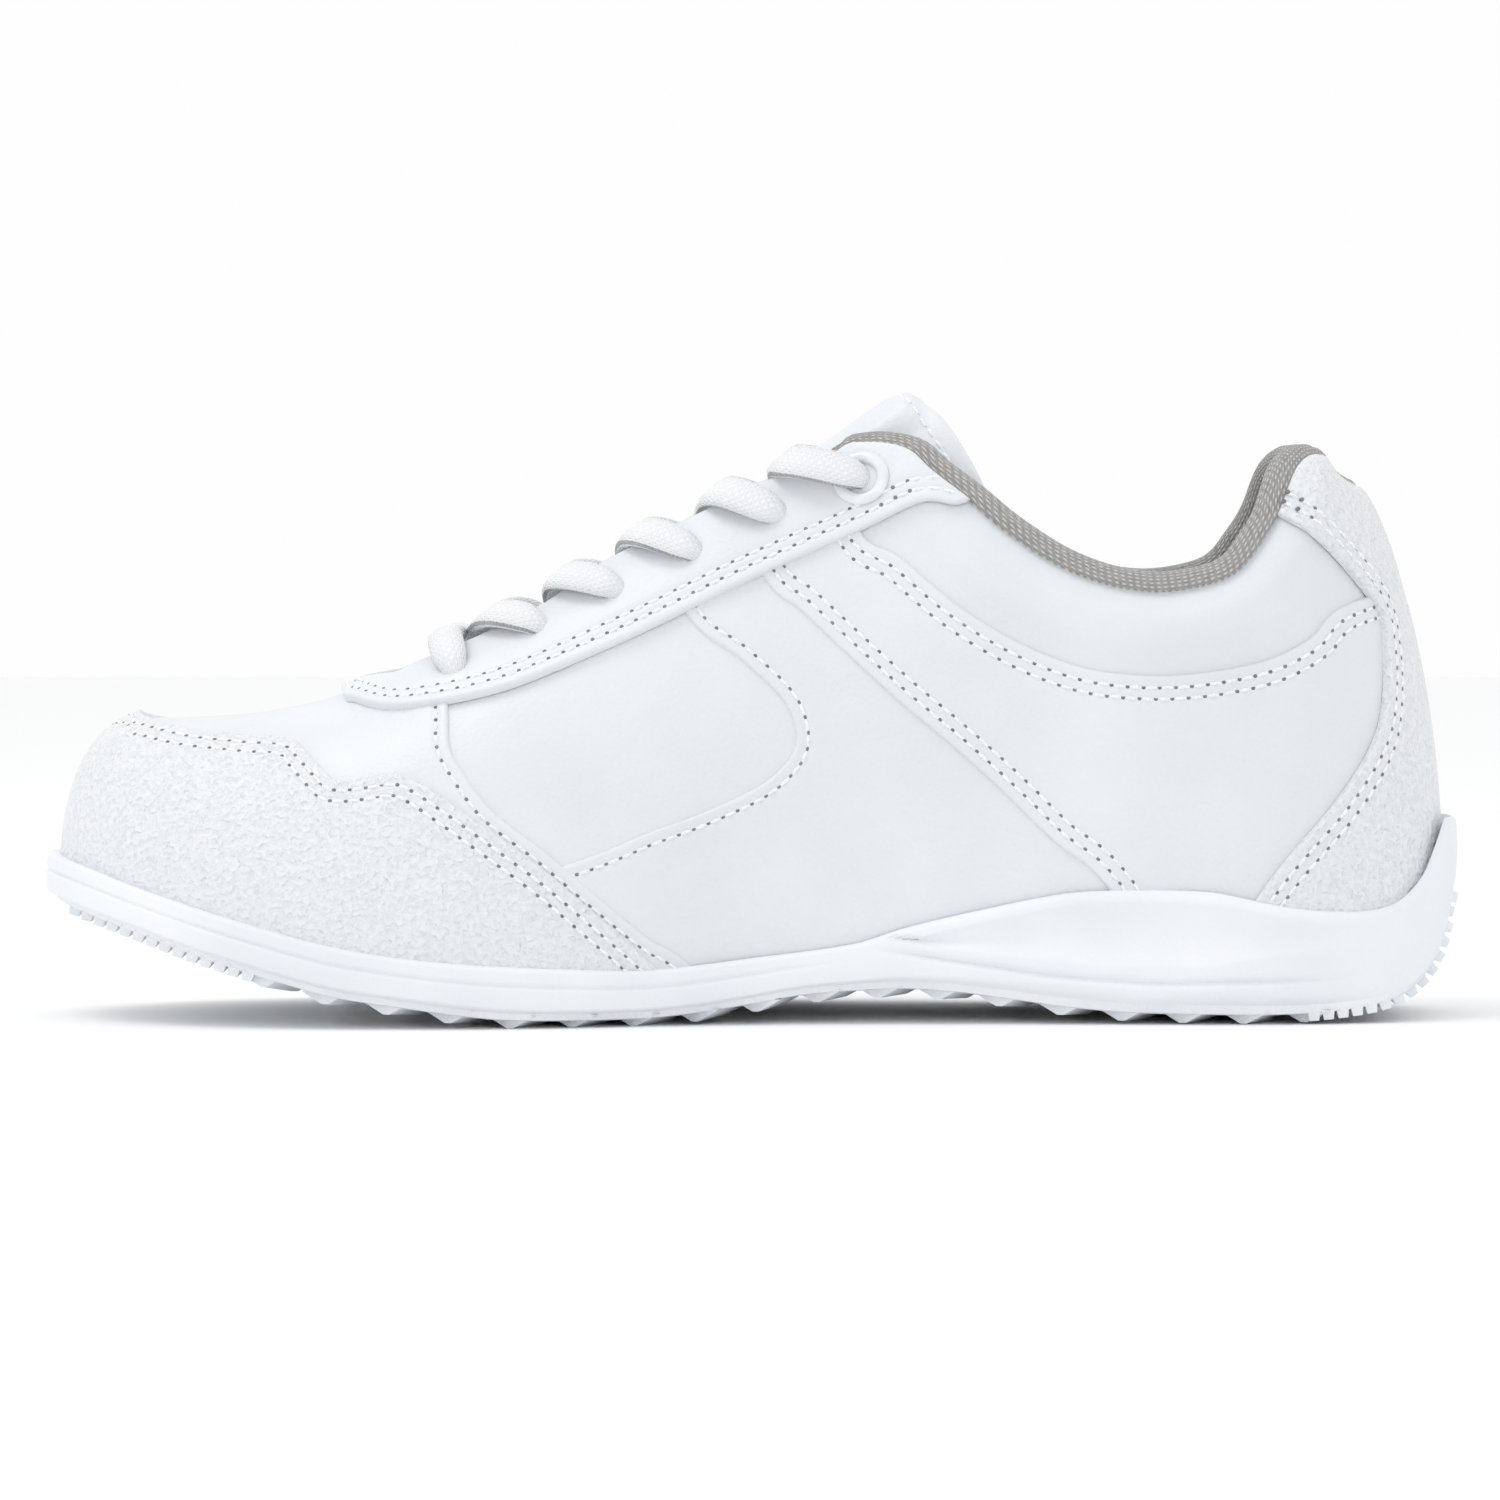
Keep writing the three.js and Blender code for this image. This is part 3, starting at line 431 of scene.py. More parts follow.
def describe(grid):
    """The skin's table: place, outward direction, cloth directions and every distance, by name."""
    x, y, z = grid.points.T
    place = ground(grid.turn)
    floor = floor_line(place[:, 0])
    half = np.maximum(np.abs(place[:, 1]), 6)
    tall = np.maximum(z.reshape(grid.index.shape).max(axis=1).repeat(grid.index.shape[1]) - floor, 10)
    pull = np.stack([x * 0, -y / half, -(z - floor) / tall], 1)
    lap = np.linspace(0, 1, COLUMNS + 1)
    u = np.interp(grid.turn, lap, distance_along(ground(lap))) * 0.8
    rows = grid.points.reshape(*grid.index.shape, 3)
    rise = np.linalg.norm(np.diff(rows, axis=1), axis=2)
    v = np.concatenate([np.zeros((len(rows), 1)), np.cumsum(rise, axis=1)], axis=1).ravel()
    columns = {"x": x, "y": y, "z": z, "nx": grid.normals[:, 0], "ny": grid.normals[:, 1],
               "nz": grid.normals[:, 2], "px": pull[:, 0], "py": pull[:, 1], "pz": pull[:, 2],
               "u": u, "v": v, "floor": z - floor}
    for name in ("vamp", "window", "diagonal", "collar", "eyestay", "heel", "toe", "collar_edge"):
        columns[name] = side_distance(LINES[name], grid.points, grid.normals)
    columns["tongue"] = side_distance(LINES["tongue"], grid.points + pull * TONGUE_DEPTH, grid.normals)
    for name in ("heel", "toe", "collar_edge", "tongue"):
        columns[name] = -columns[name]
    loop = throat_outline()
    inside = plan_distance(loop, grid.points, grid.normals)
    if plan_distance(loop, np.array([[-30.0, 0, 0]]), np.array([[0.0, 0, 1]]))[0] < 0:
        inside = -inside
    columns["throat"] = np.where(z > 45, -inside, 50.0)
    columns["mouth"] = np.minimum(columns["collar_edge"], columns["throat"])
    wide = BINDING * np.maximum(ease(x, -4, 24), 0.05)
    columns["rim"] = -columns["mouth"] / np.where(columns["mouth"] > 0, BINDING, wide)
    fields.update({name: i for i, name in enumerate(columns)})
    return np.stack(list(columns.values()), 1)


base_grid = Skin(COLUMNS, ROWS)
base_table = describe(base_grid)


class Cut:
    """A region of the skin, cut out along its edges and made fine beside them."""

    def __init__(self, table=None, faces=None):
        self.table = base_table if table is None else table
        self.faces = base_grid.faces if faces is None else faces

    def keep(self, name, level=0.0, above=True):
        table, faces, up = split(self.table, self.faces, fields[name], level)
        table, faces = used_only(table, faces[up if above else ~up])
        return Cut(table, faces)

    def mark(self, name, *levels):
        table, faces = self.table, self.faces
        for level in levels:
            table, faces, _ = split(table, faces, fields[name], level)
        return Cut(table, faces)

    def get(self, *names):
        found = [self.table[:, fields[name]] for name in names]
        return found[0] if len(found) == 1 else np.stack(found, 1)

    def at(self, depth):
        normal = self.get("nx", "ny", "nz")
        normal = normal / np.linalg.norm(normal, axis=1, keepdims=True)
        return self.get("x", "y", "z") + normal * np.asarray(depth)[..., None]

    def inside(self, depth):
        """The place a depth further in, measured towards the middle of the foot."""
        return self.get("x", "y", "z") + self.get("px", "py", "pz") * np.asarray(depth)[..., None]

    def line(self, name, level):
        return level_lines(self.table, self.faces, fields[name], level)


EDGE_STEPS = (0.12, 0.35, 0.7, 1.3)
ROW_STEPS = (1.8, 2.3, 2.8, 3.35, 3.9, 4.4, 4.9, 6.0)
STITCH_FIRST, STITCH_SECOND = 2.3, 4.4
LIFT_REACH = 9


def rolled(distance, radius=0.7):
    """How far a cut and burnished edge drops away, within its radius."""
    near = np.clip(1 - distance / radius, 0, 1)
    return radius * (1 - np.sqrt(1 - near ** 2))


def pulled(distance, *rows, depth=0.28):
    """How far rows of stitches pull leather in."""
    return sum(depth * np.exp(-((distance - row) / 0.75) ** 2) for row in rows)


def layer(name, cut, outer, inner, finish, body="shoe", inward=False, uv=None, replaces_node=True):
    """A layer of the shoe between two depths of a cut; it stands for the node of its name."""
    top = cut.inside(-outer) if inward else cut.at(outer)
    under = cut.inside(-inner) if inward else cut.at(inner)
    points, faces = thicken(top, under, cut.faces)
    uv = np.vstack([cut.get("u", "v")] * 2) if uv is None else uv
    piece = to_mesh(name, points, faces, uv=uv)
    piece.data.set_sharp_from_angle(angle=math.radians(50))
    return place(piece, body, finish, *([name] if replaces_node else []))


# ---------- nodes and materials ----------

def srgb(code):
    """A hex colour as linear light."""
    parts = [int(code[i:i + 2], 16) / 255 for i in (1, 3, 5)]
    return (*(c / 12.92 if c <= 0.04045 else ((c + 0.055) / 1.055) ** 2.4 for c in parts), 1.0)


def add(tree, kind, settings=None, inputs=None):
    """Adds a node. Its inputs, by name or place, take values or other nodes' sockets."""
    new = tree.nodes.new(kind)
    for key, value in (settings or {}).items():
        setattr(new, key, value)
    for key, value in (inputs or {}).items():
        if isinstance(value, bpy.types.NodeSocket):
            tree.links.new(value, new.inputs[key])
        else:
            new.inputs[key].default_value = value
    return new


def start_material(name, roughness, ior, coordinates="Object", **extra):
    material = bpy.data.materials.new(name)
    material.use_nodes = True
    tree = material.node_tree
    shader = tree.nodes["Principled BSDF"]
    shader.inputs["Roughness"].default_value = roughness
    shader.inputs["IOR"].default_value = ior
    for key, value in extra.items():
        shader.inputs[key.replace("_", " ")].default_value = value
    return material, tree, shader, add(tree, "ShaderNodeTexCoord").outputs[coordinates]


def pattern(tree, kind, spot, scale, output, settings=None, **more):
    """A texture at a scale per metre; its other inputs come by name."""
    inputs = {key.replace("_", " "): value for key, value in more.items()}
    inputs.update({"Vector": spot, "Scale": scale})
    return add(tree, f"ShaderNodeTex{kind}", settings, inputs).outputs[output]


def noise(tree, spot, scale, **more):
    return pattern(tree, "Noise", spot, scale, "Fac", **more)


def cells(tree, spot, scale, **more):
    return pattern(tree, "Voronoi", spot, scale, "Distance", {"feature": "F1"}, **more)


def bands(tree, spot, scale, way, **more):
    return pattern(tree, "Wave", spot, scale, "Fac", {"bands_direction": way}, **more)


def calculated(tree, operation, *values):
    return add(tree, "ShaderNodeMath", {"operation": operation}, dict(enumerate(values))).outputs["Value"]


def two_tones(tree, shader, amount, low, high, spread=(0.0, 1.0)):
    """Colours the shader from one hex colour to another as an amount goes up."""
    ramp = add(tree, "ShaderNodeValToRGB", inputs={"Fac": amount})
    for stop, position, code in zip(ramp.color_ramp.elements, spread, (low, high)):
        stop.position = position
        stop.color = srgb(code)
    tree.links.new(ramp.outputs["Color"], shader.inputs["Base Color"])


def relief(tree, shader, *heights):
    """Stacks bumps, each a height socket and the height in metres that 1 stands for."""
    normal = None
    for height, distance in heights:
        inputs = {"Height": height, "Distance": distance, "Strength": 1.0}
        if normal is not None:
            inputs["Normal"] = normal
        normal = add(tree, "ShaderNodeBump", inputs=inputs).outputs["Normal"]
    tree.links.new(normal, shader.inputs["Normal"])


def smooth_leather():
    """Coated cowhide, plated smooth and sprayed white: fine pores, a soft gloss and faint creases."""
    material, tree, shader, spot = start_material(
        "coated smooth leather", 0.4, 1.5, Coat_Weight=0.12, Coat_Roughness=0.35)
    # Pores about 0.9 mm apart, creases about 14 mm long
    pores = cells(tree, spot, 1100.0)
    creases = noise(tree, spot, 75.0, Detail=4.0, Roughness=0.45, Distortion=0.6)
    cloud = noise(tree, spot, 28.0, Detail=3.0)
    two_tones(tree, shader, cloud, "#dee2e6", "#e7eaee", (0.3, 0.75))
    gloss = add(tree, "ShaderNodeMapRange", inputs={"Value": creases, "To Min": 0.34, "To Max": 0.5})
    tree.links.new(gloss.outputs["Result"], shader.inputs["Roughness"])
    relief(tree, shader, (pores, 0.00006), (creases, 0.0005))
    return material


def grain_leather():
    """Embossed coated leather with a pebbled grain: small domes with soft valleys between them, the valleys
    coloured darker as painted shade.
    """
    material, tree, shader, spot = start_material(
        "pebbled leather", 0.5, 1.5, Coat_Weight=0.08, Coat_Roughness=0.4)
    # Pebbles about 1 mm across, of uneven size, and the finer print between them
    pebbles_and_valley_shade = noise(tree, spot, 950.0, Detail=1.5, Roughness=0.5, Distortion=0.3)
    print_cells = cells(tree, spot, 1000.0)
    cloud = noise(tree, spot, 40.0, Detail=3.0)
    # Darker colour in the valleys between the pebbles: painted shade.
    two_tones(tree, shader, pebbles_and_valley_shade, "#dcdfe3", "#e9ebee", (0.25, 0.65))
    relief(tree, shader, (pebbles_and_valley_shade, 0.0007), (print_cells, 0.00006), (cloud, 0.0004))
    return material


def sole_foam():
    """Moulded EVA foam, sprayed: a fine even matt skin with a faint swell."""
    material, tree, shader, spot = start_material("moulded EVA foam", 0.55, 1.49)
    skin_grain = noise(tree, spot, 1500.0)
    swell = noise(tree, spot, 35.0)
    two_tones(tree, shader, swell, "#e6e9ee", "#eff1f5", (0.3, 0.7))
    relief(tree, shader, (skin_grain, 0.00007), (swell, 0.0003))
    return material


def sole_rubber():
    """Compression moulded gum rubber, white: denser and greyer than the foam, with mould grain."""
    material, tree, shader, spot = start_material("moulded white rubber", 0.5, 1.52)
    grain = cells(tree, spot, 1400.0)
    cloud = noise(tree, spot, 60.0, Detail=3.0)
    two_tones(tree, shader, cloud, "#e3e7ec", "#f1f4f7", (0.3, 0.7))
    relief(tree, shader, (grain, 0.0001), (cloud, 0.0002))
    return material


def knit_binding():
    """Tricot knit round the collar: rows of small loops, soft and matt, grey with a random mottle and painted
    shade in the gaps between the loops.
    """
    material, tree, shader, spot = start_material(
        "grey tricot knit", 0.95, 1.45, "UV", Sheen_Weight=0.35, Sheen_Roughness=0.5)
    # Loops 1.1 mm wide and 0.8 mm high, drawn coarser than the real 0.6 mm so that they show
    columns = bands(tree, spot, 290.0, "X")
    rows = bands(tree, spot, 390.0, "Y", Distortion=1.2, Detail_Scale=1.0)
    fuzz = noise(tree, spot, 900.0, Detail=3.0)
    loop = calculated(tree, "MULTIPLY", columns, rows)
    # The colour mixes a random grey mottle of the yarn with painted shade, darker in the gaps between the
    # loops.
    tone_and_gap_shade = calculated(tree, "MULTIPLY_ADD", fuzz, 0.5, loop)
    two_tones(tree, shader, tone_and_gap_shade, "#878583", "#d6d5d2", (0.15, 1.0))
    relief(tree, shader, (loop, 0.0004), (fuzz, 0.00015))
    return material


def open_mesh():
    """Spacer mesh inside the collar and on the footbed: grey yarn round small open cells, the cells painted
    dark grey as the shade inside them.
    """
    material, tree, shader, spot = start_material(
        "grey spacer mesh", 0.95, 1.45, Sheen_Weight=0.3, Sheen_Roughness=0.5)
    # Cells about 1.8 mm apart
    openings = cells(tree, spot, 560.0, Randomness=0.2)
    yarn = add(tree, "ShaderNodeMapRange", {"interpolation_type": "SMOOTHSTEP"}, {
        "Value": openings, "From Min": 0.3, "From Max": 0.55}).outputs["Result"]
    fuzz = noise(tree, spot, 1500.0, Detail=3.0)
    # The open cells are coloured dark grey: painted shade inside the openings, with a random mottle on the
    # yarn.
    tone_and_gap_shade = calculated(tree, "MULTIPLY_ADD", fuzz, 0.35, yarn)
    two_tones(tree, shader, tone_and_gap_shade, "#646361", "#b1b0ac", (0.1, 1.05))
    relief(tree, shader, (yarn, 0.0006), (fuzz, 0.0001))
    return material


def lining_cloth():
    """Brushed nylon lining: a fine plain weave with a soft nap, coloured darker between the threads as
    painted shade.
    """
    material, tree, shader, spot = start_material("brushed nylon lining", 0.9, 1.45, "UV", Sheen_Weight=0.3)
    # Threads every 0.7 mm, drawn twice as coarse as real so that they show
    weave = calculated(tree, "MAXIMUM", bands(tree, spot, 450.0, "X"), bands(tree, spot, 450.0, "Y"))
    # Darker colour in the gaps between the threads: painted shade.
    two_tones(tree, shader, weave, "#b9babb", "#dcdddd")
    relief(tree, shader, (weave, 0.00015))
    return material


def padding_foam():
    """Cut polyurethane foam: a dull yellowish white with open pores, the pores coloured darker as painted
    shade.
    """
    material, tree, shader, spot = start_material("cut polyurethane foam", 0.95, 1.45)
    pores = cells(tree, spot, 1200.0)
    # Darker colour inside the pores: painted shade.
    two_tones(tree, shader, pores, "#b9b7ae", "#dddcd4", (0.1, 0.7))
    relief(tree, shader, (pores, 0.0003))
    return material


def fibre_board():
    """Pressed cellulose board: short brown fibres in a pale binder."""
    material, tree, shader, spot = start_material("pressed fibre board", 0.9, 1.45)
    long_way = add(tree, "ShaderNodeMapping", inputs={"Vector": spot, "Scale": (0.25, 1.0, 1.0)})
    fibres = noise(tree, long_way.outputs["Vector"], 900.0, Detail=4.0)
    two_tones(tree, shader, fibres, "#a89d88", "#cfc7b6", (0.35, 0.65))
    relief(tree, shader, (fibres, 0.0001))
    return material


def lace_weave():
    """Tubular braided polyester, pressed flat: slanting yarns that cross like a plait, coloured darker
    between the yarns as painted shade.
    """
    material, tree, shader, spot = start_material("braided polyester lace", 0.8, 1.5, "UV", Sheen_Weight=0.25)
    # Yarns 1.1 mm apart in both slants
    slants = []
    for angle in (0.62, -0.62):
        turned = add(tree, "ShaderNodeMapping", inputs={"Vector": spot, "Rotation": (0.0, 0.0, angle)})
        slants.append(bands(tree, turned.outputs["Vector"], 285.0, "X"))
    braid_and_gap_shade = calculated(tree, "MULTIPLY", *slants)
    # Darker colour in the gaps between the yarns: painted shade.
    two_tones(tree, shader, braid_and_gap_shade, "#e4e7ea", "#f5f6f8", (0.0, 0.4))
    relief(tree, shader, (braid_and_gap_shade, 0.00022))
    return material


def ring_enamel():
    """Stamped brass eyelet under white enamel: smooth, hard and glossy, with a slight flow."""
    material, tree, shader, spot = start_material(
        "white enamelled brass", 0.22, 1.5, Coat_Weight=0.4, Coat_Roughness=0.1)
    flow = noise(tree, spot, 220.0)
    two_tones(tree, shader, flow, "#dfe2e5", "#f3f5f7", (0.3, 0.7))
    relief(tree, shader, (flow, 0.00008))
    return material


def aglet_plastic():
    """Acetate film wound hot round the lace: glossy, with the lap of the film as a faint spiral."""
    material, tree, shader, spot = start_material("wound acetate film", 0.2, 1.47, "UV", Coat_Weight=0.3)
    turned = add(tree, "ShaderNodeMapping", inputs={"Vector": spot, "Rotation": (0.0, 0.0, 0.35)})
    lap = bands(tree, turned.outputs["Vector"], 60.0, "Y")
    two_tones(tree, shader, lap, "#e4e6e8", "#f5f6f7", (0.0, 0.6))
    relief(tree, shader, (lap, 0.00005))
    return material


def stitch_thread():
    """Bonded nylon thread, twisted: bright white with a slight sheen."""
    material, tree, shader, spot = start_material("bonded nylon thread", 0.55, 1.53, Sheen_Weight=0.2)
    twist = noise(tree, spot, 2500.0)
    two_tones(tree, shader, twist, "#e2e5e9", "#fcfdfe", (0.3, 0.6))
    relief(tree, shader, (twist, 0.0001))
    return material


def needle_hole_shade():
    """White leather in the shade inside a needle hole: an uneven dull grey."""
    material, tree, shader, spot = start_material("needle hole", 0.9, 1.5)
    two_tones(tree, shader, noise(tree, spot, 900.0), "#6a6d71", "#909397", (0.3, 0.7))
    return material


def paper_sweep():
    """Seamless matt paper: pale and even."""
    material, tree, shader, spot = start_material("matt background paper", 0.9, 1.45)
    two_tones(tree, shader, noise(tree, spot, 700.0), "#f9fafa", "#fbfbfc", (0.3, 0.7))
    return material


# A finish is a material with the slot that it stands for
SMOOTH = smooth_leather(), "smooth_leather"
GRAIN = grain_leather(), "grain_leather"
STAY = SMOOTH[0], "grain_leather"
FOAM = sole_foam(), "midsole_foam"
RUBBER = sole_rubber(), "outsole_rubber"
TREAD = None, "outsole_rubber"
KNIT = knit_binding(), "grey_knit"
MESH = open_mesh(), "grey_knit"
LINING = lining_cloth(), "lining_cloth"
PADDING = padding_foam(), "padding_foam"
BOARD = fibre_board(), "fibre_board"
LACE = lace_weave(), "lace_weave"
ENAMEL = ring_enamel(), "ring_enamel"
ACETATE = aglet_plastic(), "aglet_plastic"
SEWING = None, "smooth_leather"
THREAD = stitch_thread()
HOLE_SHADE = needle_hole_shade()


# ---------- camera, light and floor ----------

VIEW_WIDTH = 0.2861
AIM = Vector((-0.0005, 0.0, 0.0502))
DISTANCE = 1.5
ELEVATION = math.radians(2.0)

lens = bpy.data.cameras.new("camera")
lens.lens = lens.sensor_width * DISTANCE / VIEW_WIDTH
camera = in_scene("camera", lens)
camera.location = AIM + Vector((0, -math.cos(ELEVATION), math.sin(ELEVATION))) * DISTANCE
camera.rotation_euler = (AIM - camera.location).to_track_quat("-Z", "Y").to_euler()
bpy.context.scene.camera = camera

LAMP_PLACE, LAMP_SIZE, LAMP_WATTS = Vector((-0.5, -0.25, 1.2)), (0.6, 0.5), 3.2
lamp_data = bpy.data.lights.new("top soft box", "AREA")
lamp_data.shape = "RECTANGLE"
lamp_data.size, lamp_data.size_y = LAMP_SIZE
lamp_data.energy = LAMP_WATTS
lamp = in_scene("top soft box", lamp_data)
lamp.location = LAMP_PLACE
lamp.rotation_euler = (AIM - LAMP_PLACE).to_track_quat("-Z", "Y").to_euler()

world = bpy.data.worlds.new("studio")
world.use_nodes = True
world.node_tree.nodes["Background"].inputs["Color"].default_value = srgb("#ffffff")
world.node_tree.nodes["Background"].inputs["Strength"].default_value = 0.99
bpy.context.scene.world = world
bpy.context.scene.view_settings.view_transform = "Standard"

FLOOR_HALF = 2500
corners = np.array([(-1, -1, 0), (1, -1, 0), (1, 1, 0), (-1, 1, 0)]) * FLOOR_HALF
floor = to_mesh("floor", corners - SHIFT, [(0, 1, 2, 3)], smooth=False)
floor.data.materials.append(paper_sweep())


# ---------- lace ----------

LACE_WIDTH, LACE_THICK = 7.0, 2.9
SQUEEZED_WIDTH, SQUEEZED_THICK = 4.4, 3.2
BUNCHED_WIDTH = 5.4
OVER = 1.5 + LACE_THICK / 2 + 0.15
OVER_RING = OVER + 1.2
UNDER = -3.6 - 0.6 - LACE_THICK / 2
HOLES = [(-55.5, 65), (-39.6, 73.4), (-25.3, 80.3), (-10.6, 87.5), (5.2, 94.8), (20.9, 101.4)]
UNDERS = [(-55.5, 68.9), (-38.5, 77.6), (-25.1, 86.6), (-10.4, 94.1), (5.4, 101.6)]
CRESTS = [(-56.5, 68.9), (-47.5, 73.4), (-34, 80.9), (-20, 89.2), (-4.5, 97.1), (9, 102.6)]
END_WIDTH, END_THICK = 2.6, 2.4
TUCKED = [(19.6, 97), (16.8, 90), (14, 82), (12.5, 75)]
OTHER = {"medial": "lateral", "lateral": "medial"}
holes = {side: [seat(x, z, side) for x, z in HOLES] for side in OTHER}
crests = {side: [seat(x, z, side) for x, z in CRESTS] for side in OTHER}
unders = {side: [seat(x, z, side) for x, z in UNDERS] for side in OTHER}


def flowing(rows, step=1.0):
    """A centripetal curve through the first three columns; the other columns go along."""
    rows = np.array(rows, float)
    rows = np.vstack([2 * rows[0] - rows[1], rows, 2 * rows[-1] - rows[-2]])
    out = []
    for i in range(1, len(rows) - 2):
        p = rows[i - 1:i + 3]
        gaps = np.sqrt(np.maximum(np.linalg.norm(np.diff(p[:, :3], axis=0), axis=1), 0.05))
        t0, t1, t2, t3 = np.concatenate([[0], np.cumsum(gaps)])
        count = max(2, int(np.linalg.norm(p[2, :3] - p[1, :3]) / step))
        for t in t1 + (t2 - t1) * np.arange(count) / count:
            a1 = ((t1 - t) * p[0] + (t - t0) * p[1]) / (t1 - t0)
            a2 = ((t2 - t) * p[1] + (t - t1) * p[2]) / (t2 - t1)
            a3 = ((t3 - t) * p[2] + (t - t2) * p[3]) / (t3 - t2)
            b1 = ((t2 - t) * a1 + (t - t0) * a2) / (t2 - t0)
            b2 = ((t3 - t) * a2 + (t - t1) * a3) / (t3 - t1)
            out.append(((t2 - t) * b1 + (t - t1) * b2) / (t2 - t1))
    out.append(rows[-2])
    return np.array(out)


FLATNESS = 0.8


def band(name, centre, face, wide, thick, sides=14):
    """A flat oval band along a line; face is the way that its broad side looks."""
    along = np.gradient(centre, axis=0)
    along /= np.linalg.norm(along, axis=1, keepdims=True)
    across = np.cross(along, face)
    across /= np.linalg.norm(across, axis=1, keepdims=True)
    face = np.cross(across, along)
    angle = np.arange(sides) * 2 * math.pi / sides
    points = centre[:, None]
    for wave, way, size in ((np.cos(angle), across, wide), (np.sin(angle), face, thick)):
        flattened = np.sign(wave) * np.abs(wave) ** FLATNESS
        points = points + flattened[None, :, None] * way[:, None] * size[:, None, None] / 2
    points = points.reshape(-1, 3)
    length = distance_along(centre)[:, None]
    uv = np.stack([length + angle * 0, wide.max() * 0.62 * angle + length * 0], 2).reshape(-1, 2)
    count = len(centre)
    a = (np.arange(count - 1)[:, None] * sides + np.arange(sides)).ravel()
    b = (np.arange(count - 1)[:, None] * sides + (np.arange(sides) + 1) % sides).ravel()
    faces = [tuple(f) for f in np.stack([a, b, b + sides, a + sides], 1)]
    faces += [tuple(range(sides))[::-1], tuple(range((count - 1) * sides, count * sides))]
    return to_mesh(name, points, faces, uv=uv)


def lace_half(first):
    """Bar, then for each row over the edge, down the hole, and under to the other side."""
    side, sign = first, 1
    bar = [crests[name][0][0] + np.array([0, 0, OVER + 0.4]) for name in OTHER]
    rows = [[*(sum(bar) / 2), 0, 0, 1, LACE_WIDTH, LACE_THICK]]
    for row in range(len(HOLES)):
        last = row == len(HOLES) - 1
        over = OVER_RING if last else OVER
        crest, lean = crests[side][row]
        hole, normal = holes[side][row]
        travel = hole - crest
        travel /= np.linalg.norm(travel)
        top = crest + lean * (over + 0.5)
        near = hole + normal * (over + 0.2) - travel * 2.2
        rows.append([*top, *(sign * lean), LACE_WIDTH, LACE_THICK])
        rows.append([*near, *(sign * normal), LACE_WIDTH - 0.6, LACE_THICK])
        rows.append([*(hole + normal * (over / 2 - 0.6)), *(sign * travel), SQUEEZED_WIDTH, SQUEEZED_THICK])
        rows.append([*(hole - normal * 2), *(sign * travel), SQUEEZED_WIDTH - 0.4, SQUEEZED_THICK])
        rows.append([*(hole + normal * UNDER - travel * 1.5), *(-sign * normal), BUNCHED_WIDTH, LACE_THICK])
        if not last:
            below, slant = unders[side][row]
            rows.append([*(below + slant * UNDER), *(-sign * slant), LACE_WIDTH, LACE_THICK])
            side, sign = OTHER[side], -sign
    for k, (x, z) in enumerate(TUCKED):
        spot, normal = seat(x, z, side)
        rows.append([*(spot + normal * (UNDER + 0.4)), *(-sign * normal), BUNCHED_WIDTH - 0.2 * k, END_THICK])
    return rows


first_half, second_half = lace_half("medial"), lace_half("lateral")
path = flowing(second_half[::-1] + first_half[1:])
lace = band("lace", path[:, :3], path[:, 3:6], path[:, 6], path[:, 7])
place(lace, "shoe", LACE, "lace")

LACE_ENDS = {
    "medial": [
        (12.9, -17.7, 73.2), (12.8, -18.6, 68), (13, -19.8, 60), (16, -20.8, 50), (21, -21.2, 41),
        (28, -21.6, 33), (36, -22, 27), (44.5, -22.3, 23), (52.5, -22.8, 21.2), (62.5, -23.4, 20.9),
        (74, -23.6, 21.2), (86, -22.6, 21.5), (95, -20.6, 21.8)],
    "lateral": [
        (12.9, 25.4, 73), (12.6, 26.6, 67), (13, 28.2, 59), (16, 29.2, 49), (20.5, 29.4, 41),
        (27.5, 28.8, 33), (35.5, 27.9, 27), (43.5, 27, 23), (51.5, 26.2, 21.2), (61.5, 25.2, 20.9),
        (74, 24.3, 21.2), (86, 22.9, 21.5), (95, 20.6, 21.8)],
}
AGLET_LENGTH = 18.0
for side, points in LACE_ENDS.items():
    line = flowing(points, 0.8)
    heading = np.array(points[-1], float) - points[-2]
    heading /= np.linalg.norm(heading)
    steps = np.arange(0, AGLET_LENGTH + 0.01, 0.6)
    shape = np.full(len(steps), END_WIDTH)
    shape[[0, 1, -2, -1]] = 2.2, 2.5, 2.4, 1.9
    stick = np.array(points[-1]) + heading * (steps[:, None] + 0.3)
    aglet = band(f"aglet_{side}", stick, np.tile([0.0, 0, 1], (len(steps), 1)), shape, shape)
    place(aglet, "shoe", ACETATE, f"aglet_{side}")
    facing = np.tile([0.0, -1 if side == "medial" else 1, 0.3], (len(line), 1))
    end = band(f"lace_end_{side}", line, facing, np.full(len(line), END_WIDTH),
               np.full(len(line), END_THICK))
    place(end, "shoe", LACE, f"lace_end_{side}")


# ---------- stitches ----------

def start_tree(name, result, **inputs):
    """A tree of nodes with named inputs, in metres, and its first input, the lines it works on."""
    tree = bpy.data.node_groups.new(name, "GeometryNodeTree")
    tree.interface.new_socket("Lines", in_out="INPUT", socket_type="NodeSocketGeometry")
    for key, value in inputs.items():
        socket = tree.interface.new_socket(
            key.replace("_", " "), in_out="INPUT", socket_type="NodeSocketFloat")
        socket.default_value = value
    tree.interface.new_socket(result, in_out="OUTPUT", socket_type="NodeSocketGeometry")
    given = add(tree, "NodeGroupInput").outputs
    lines = add(tree, "GeometryNodeMeshToCurve", inputs={"Mesh": given["Lines"]})
    return tree, given, lines.outputs["Curve"]


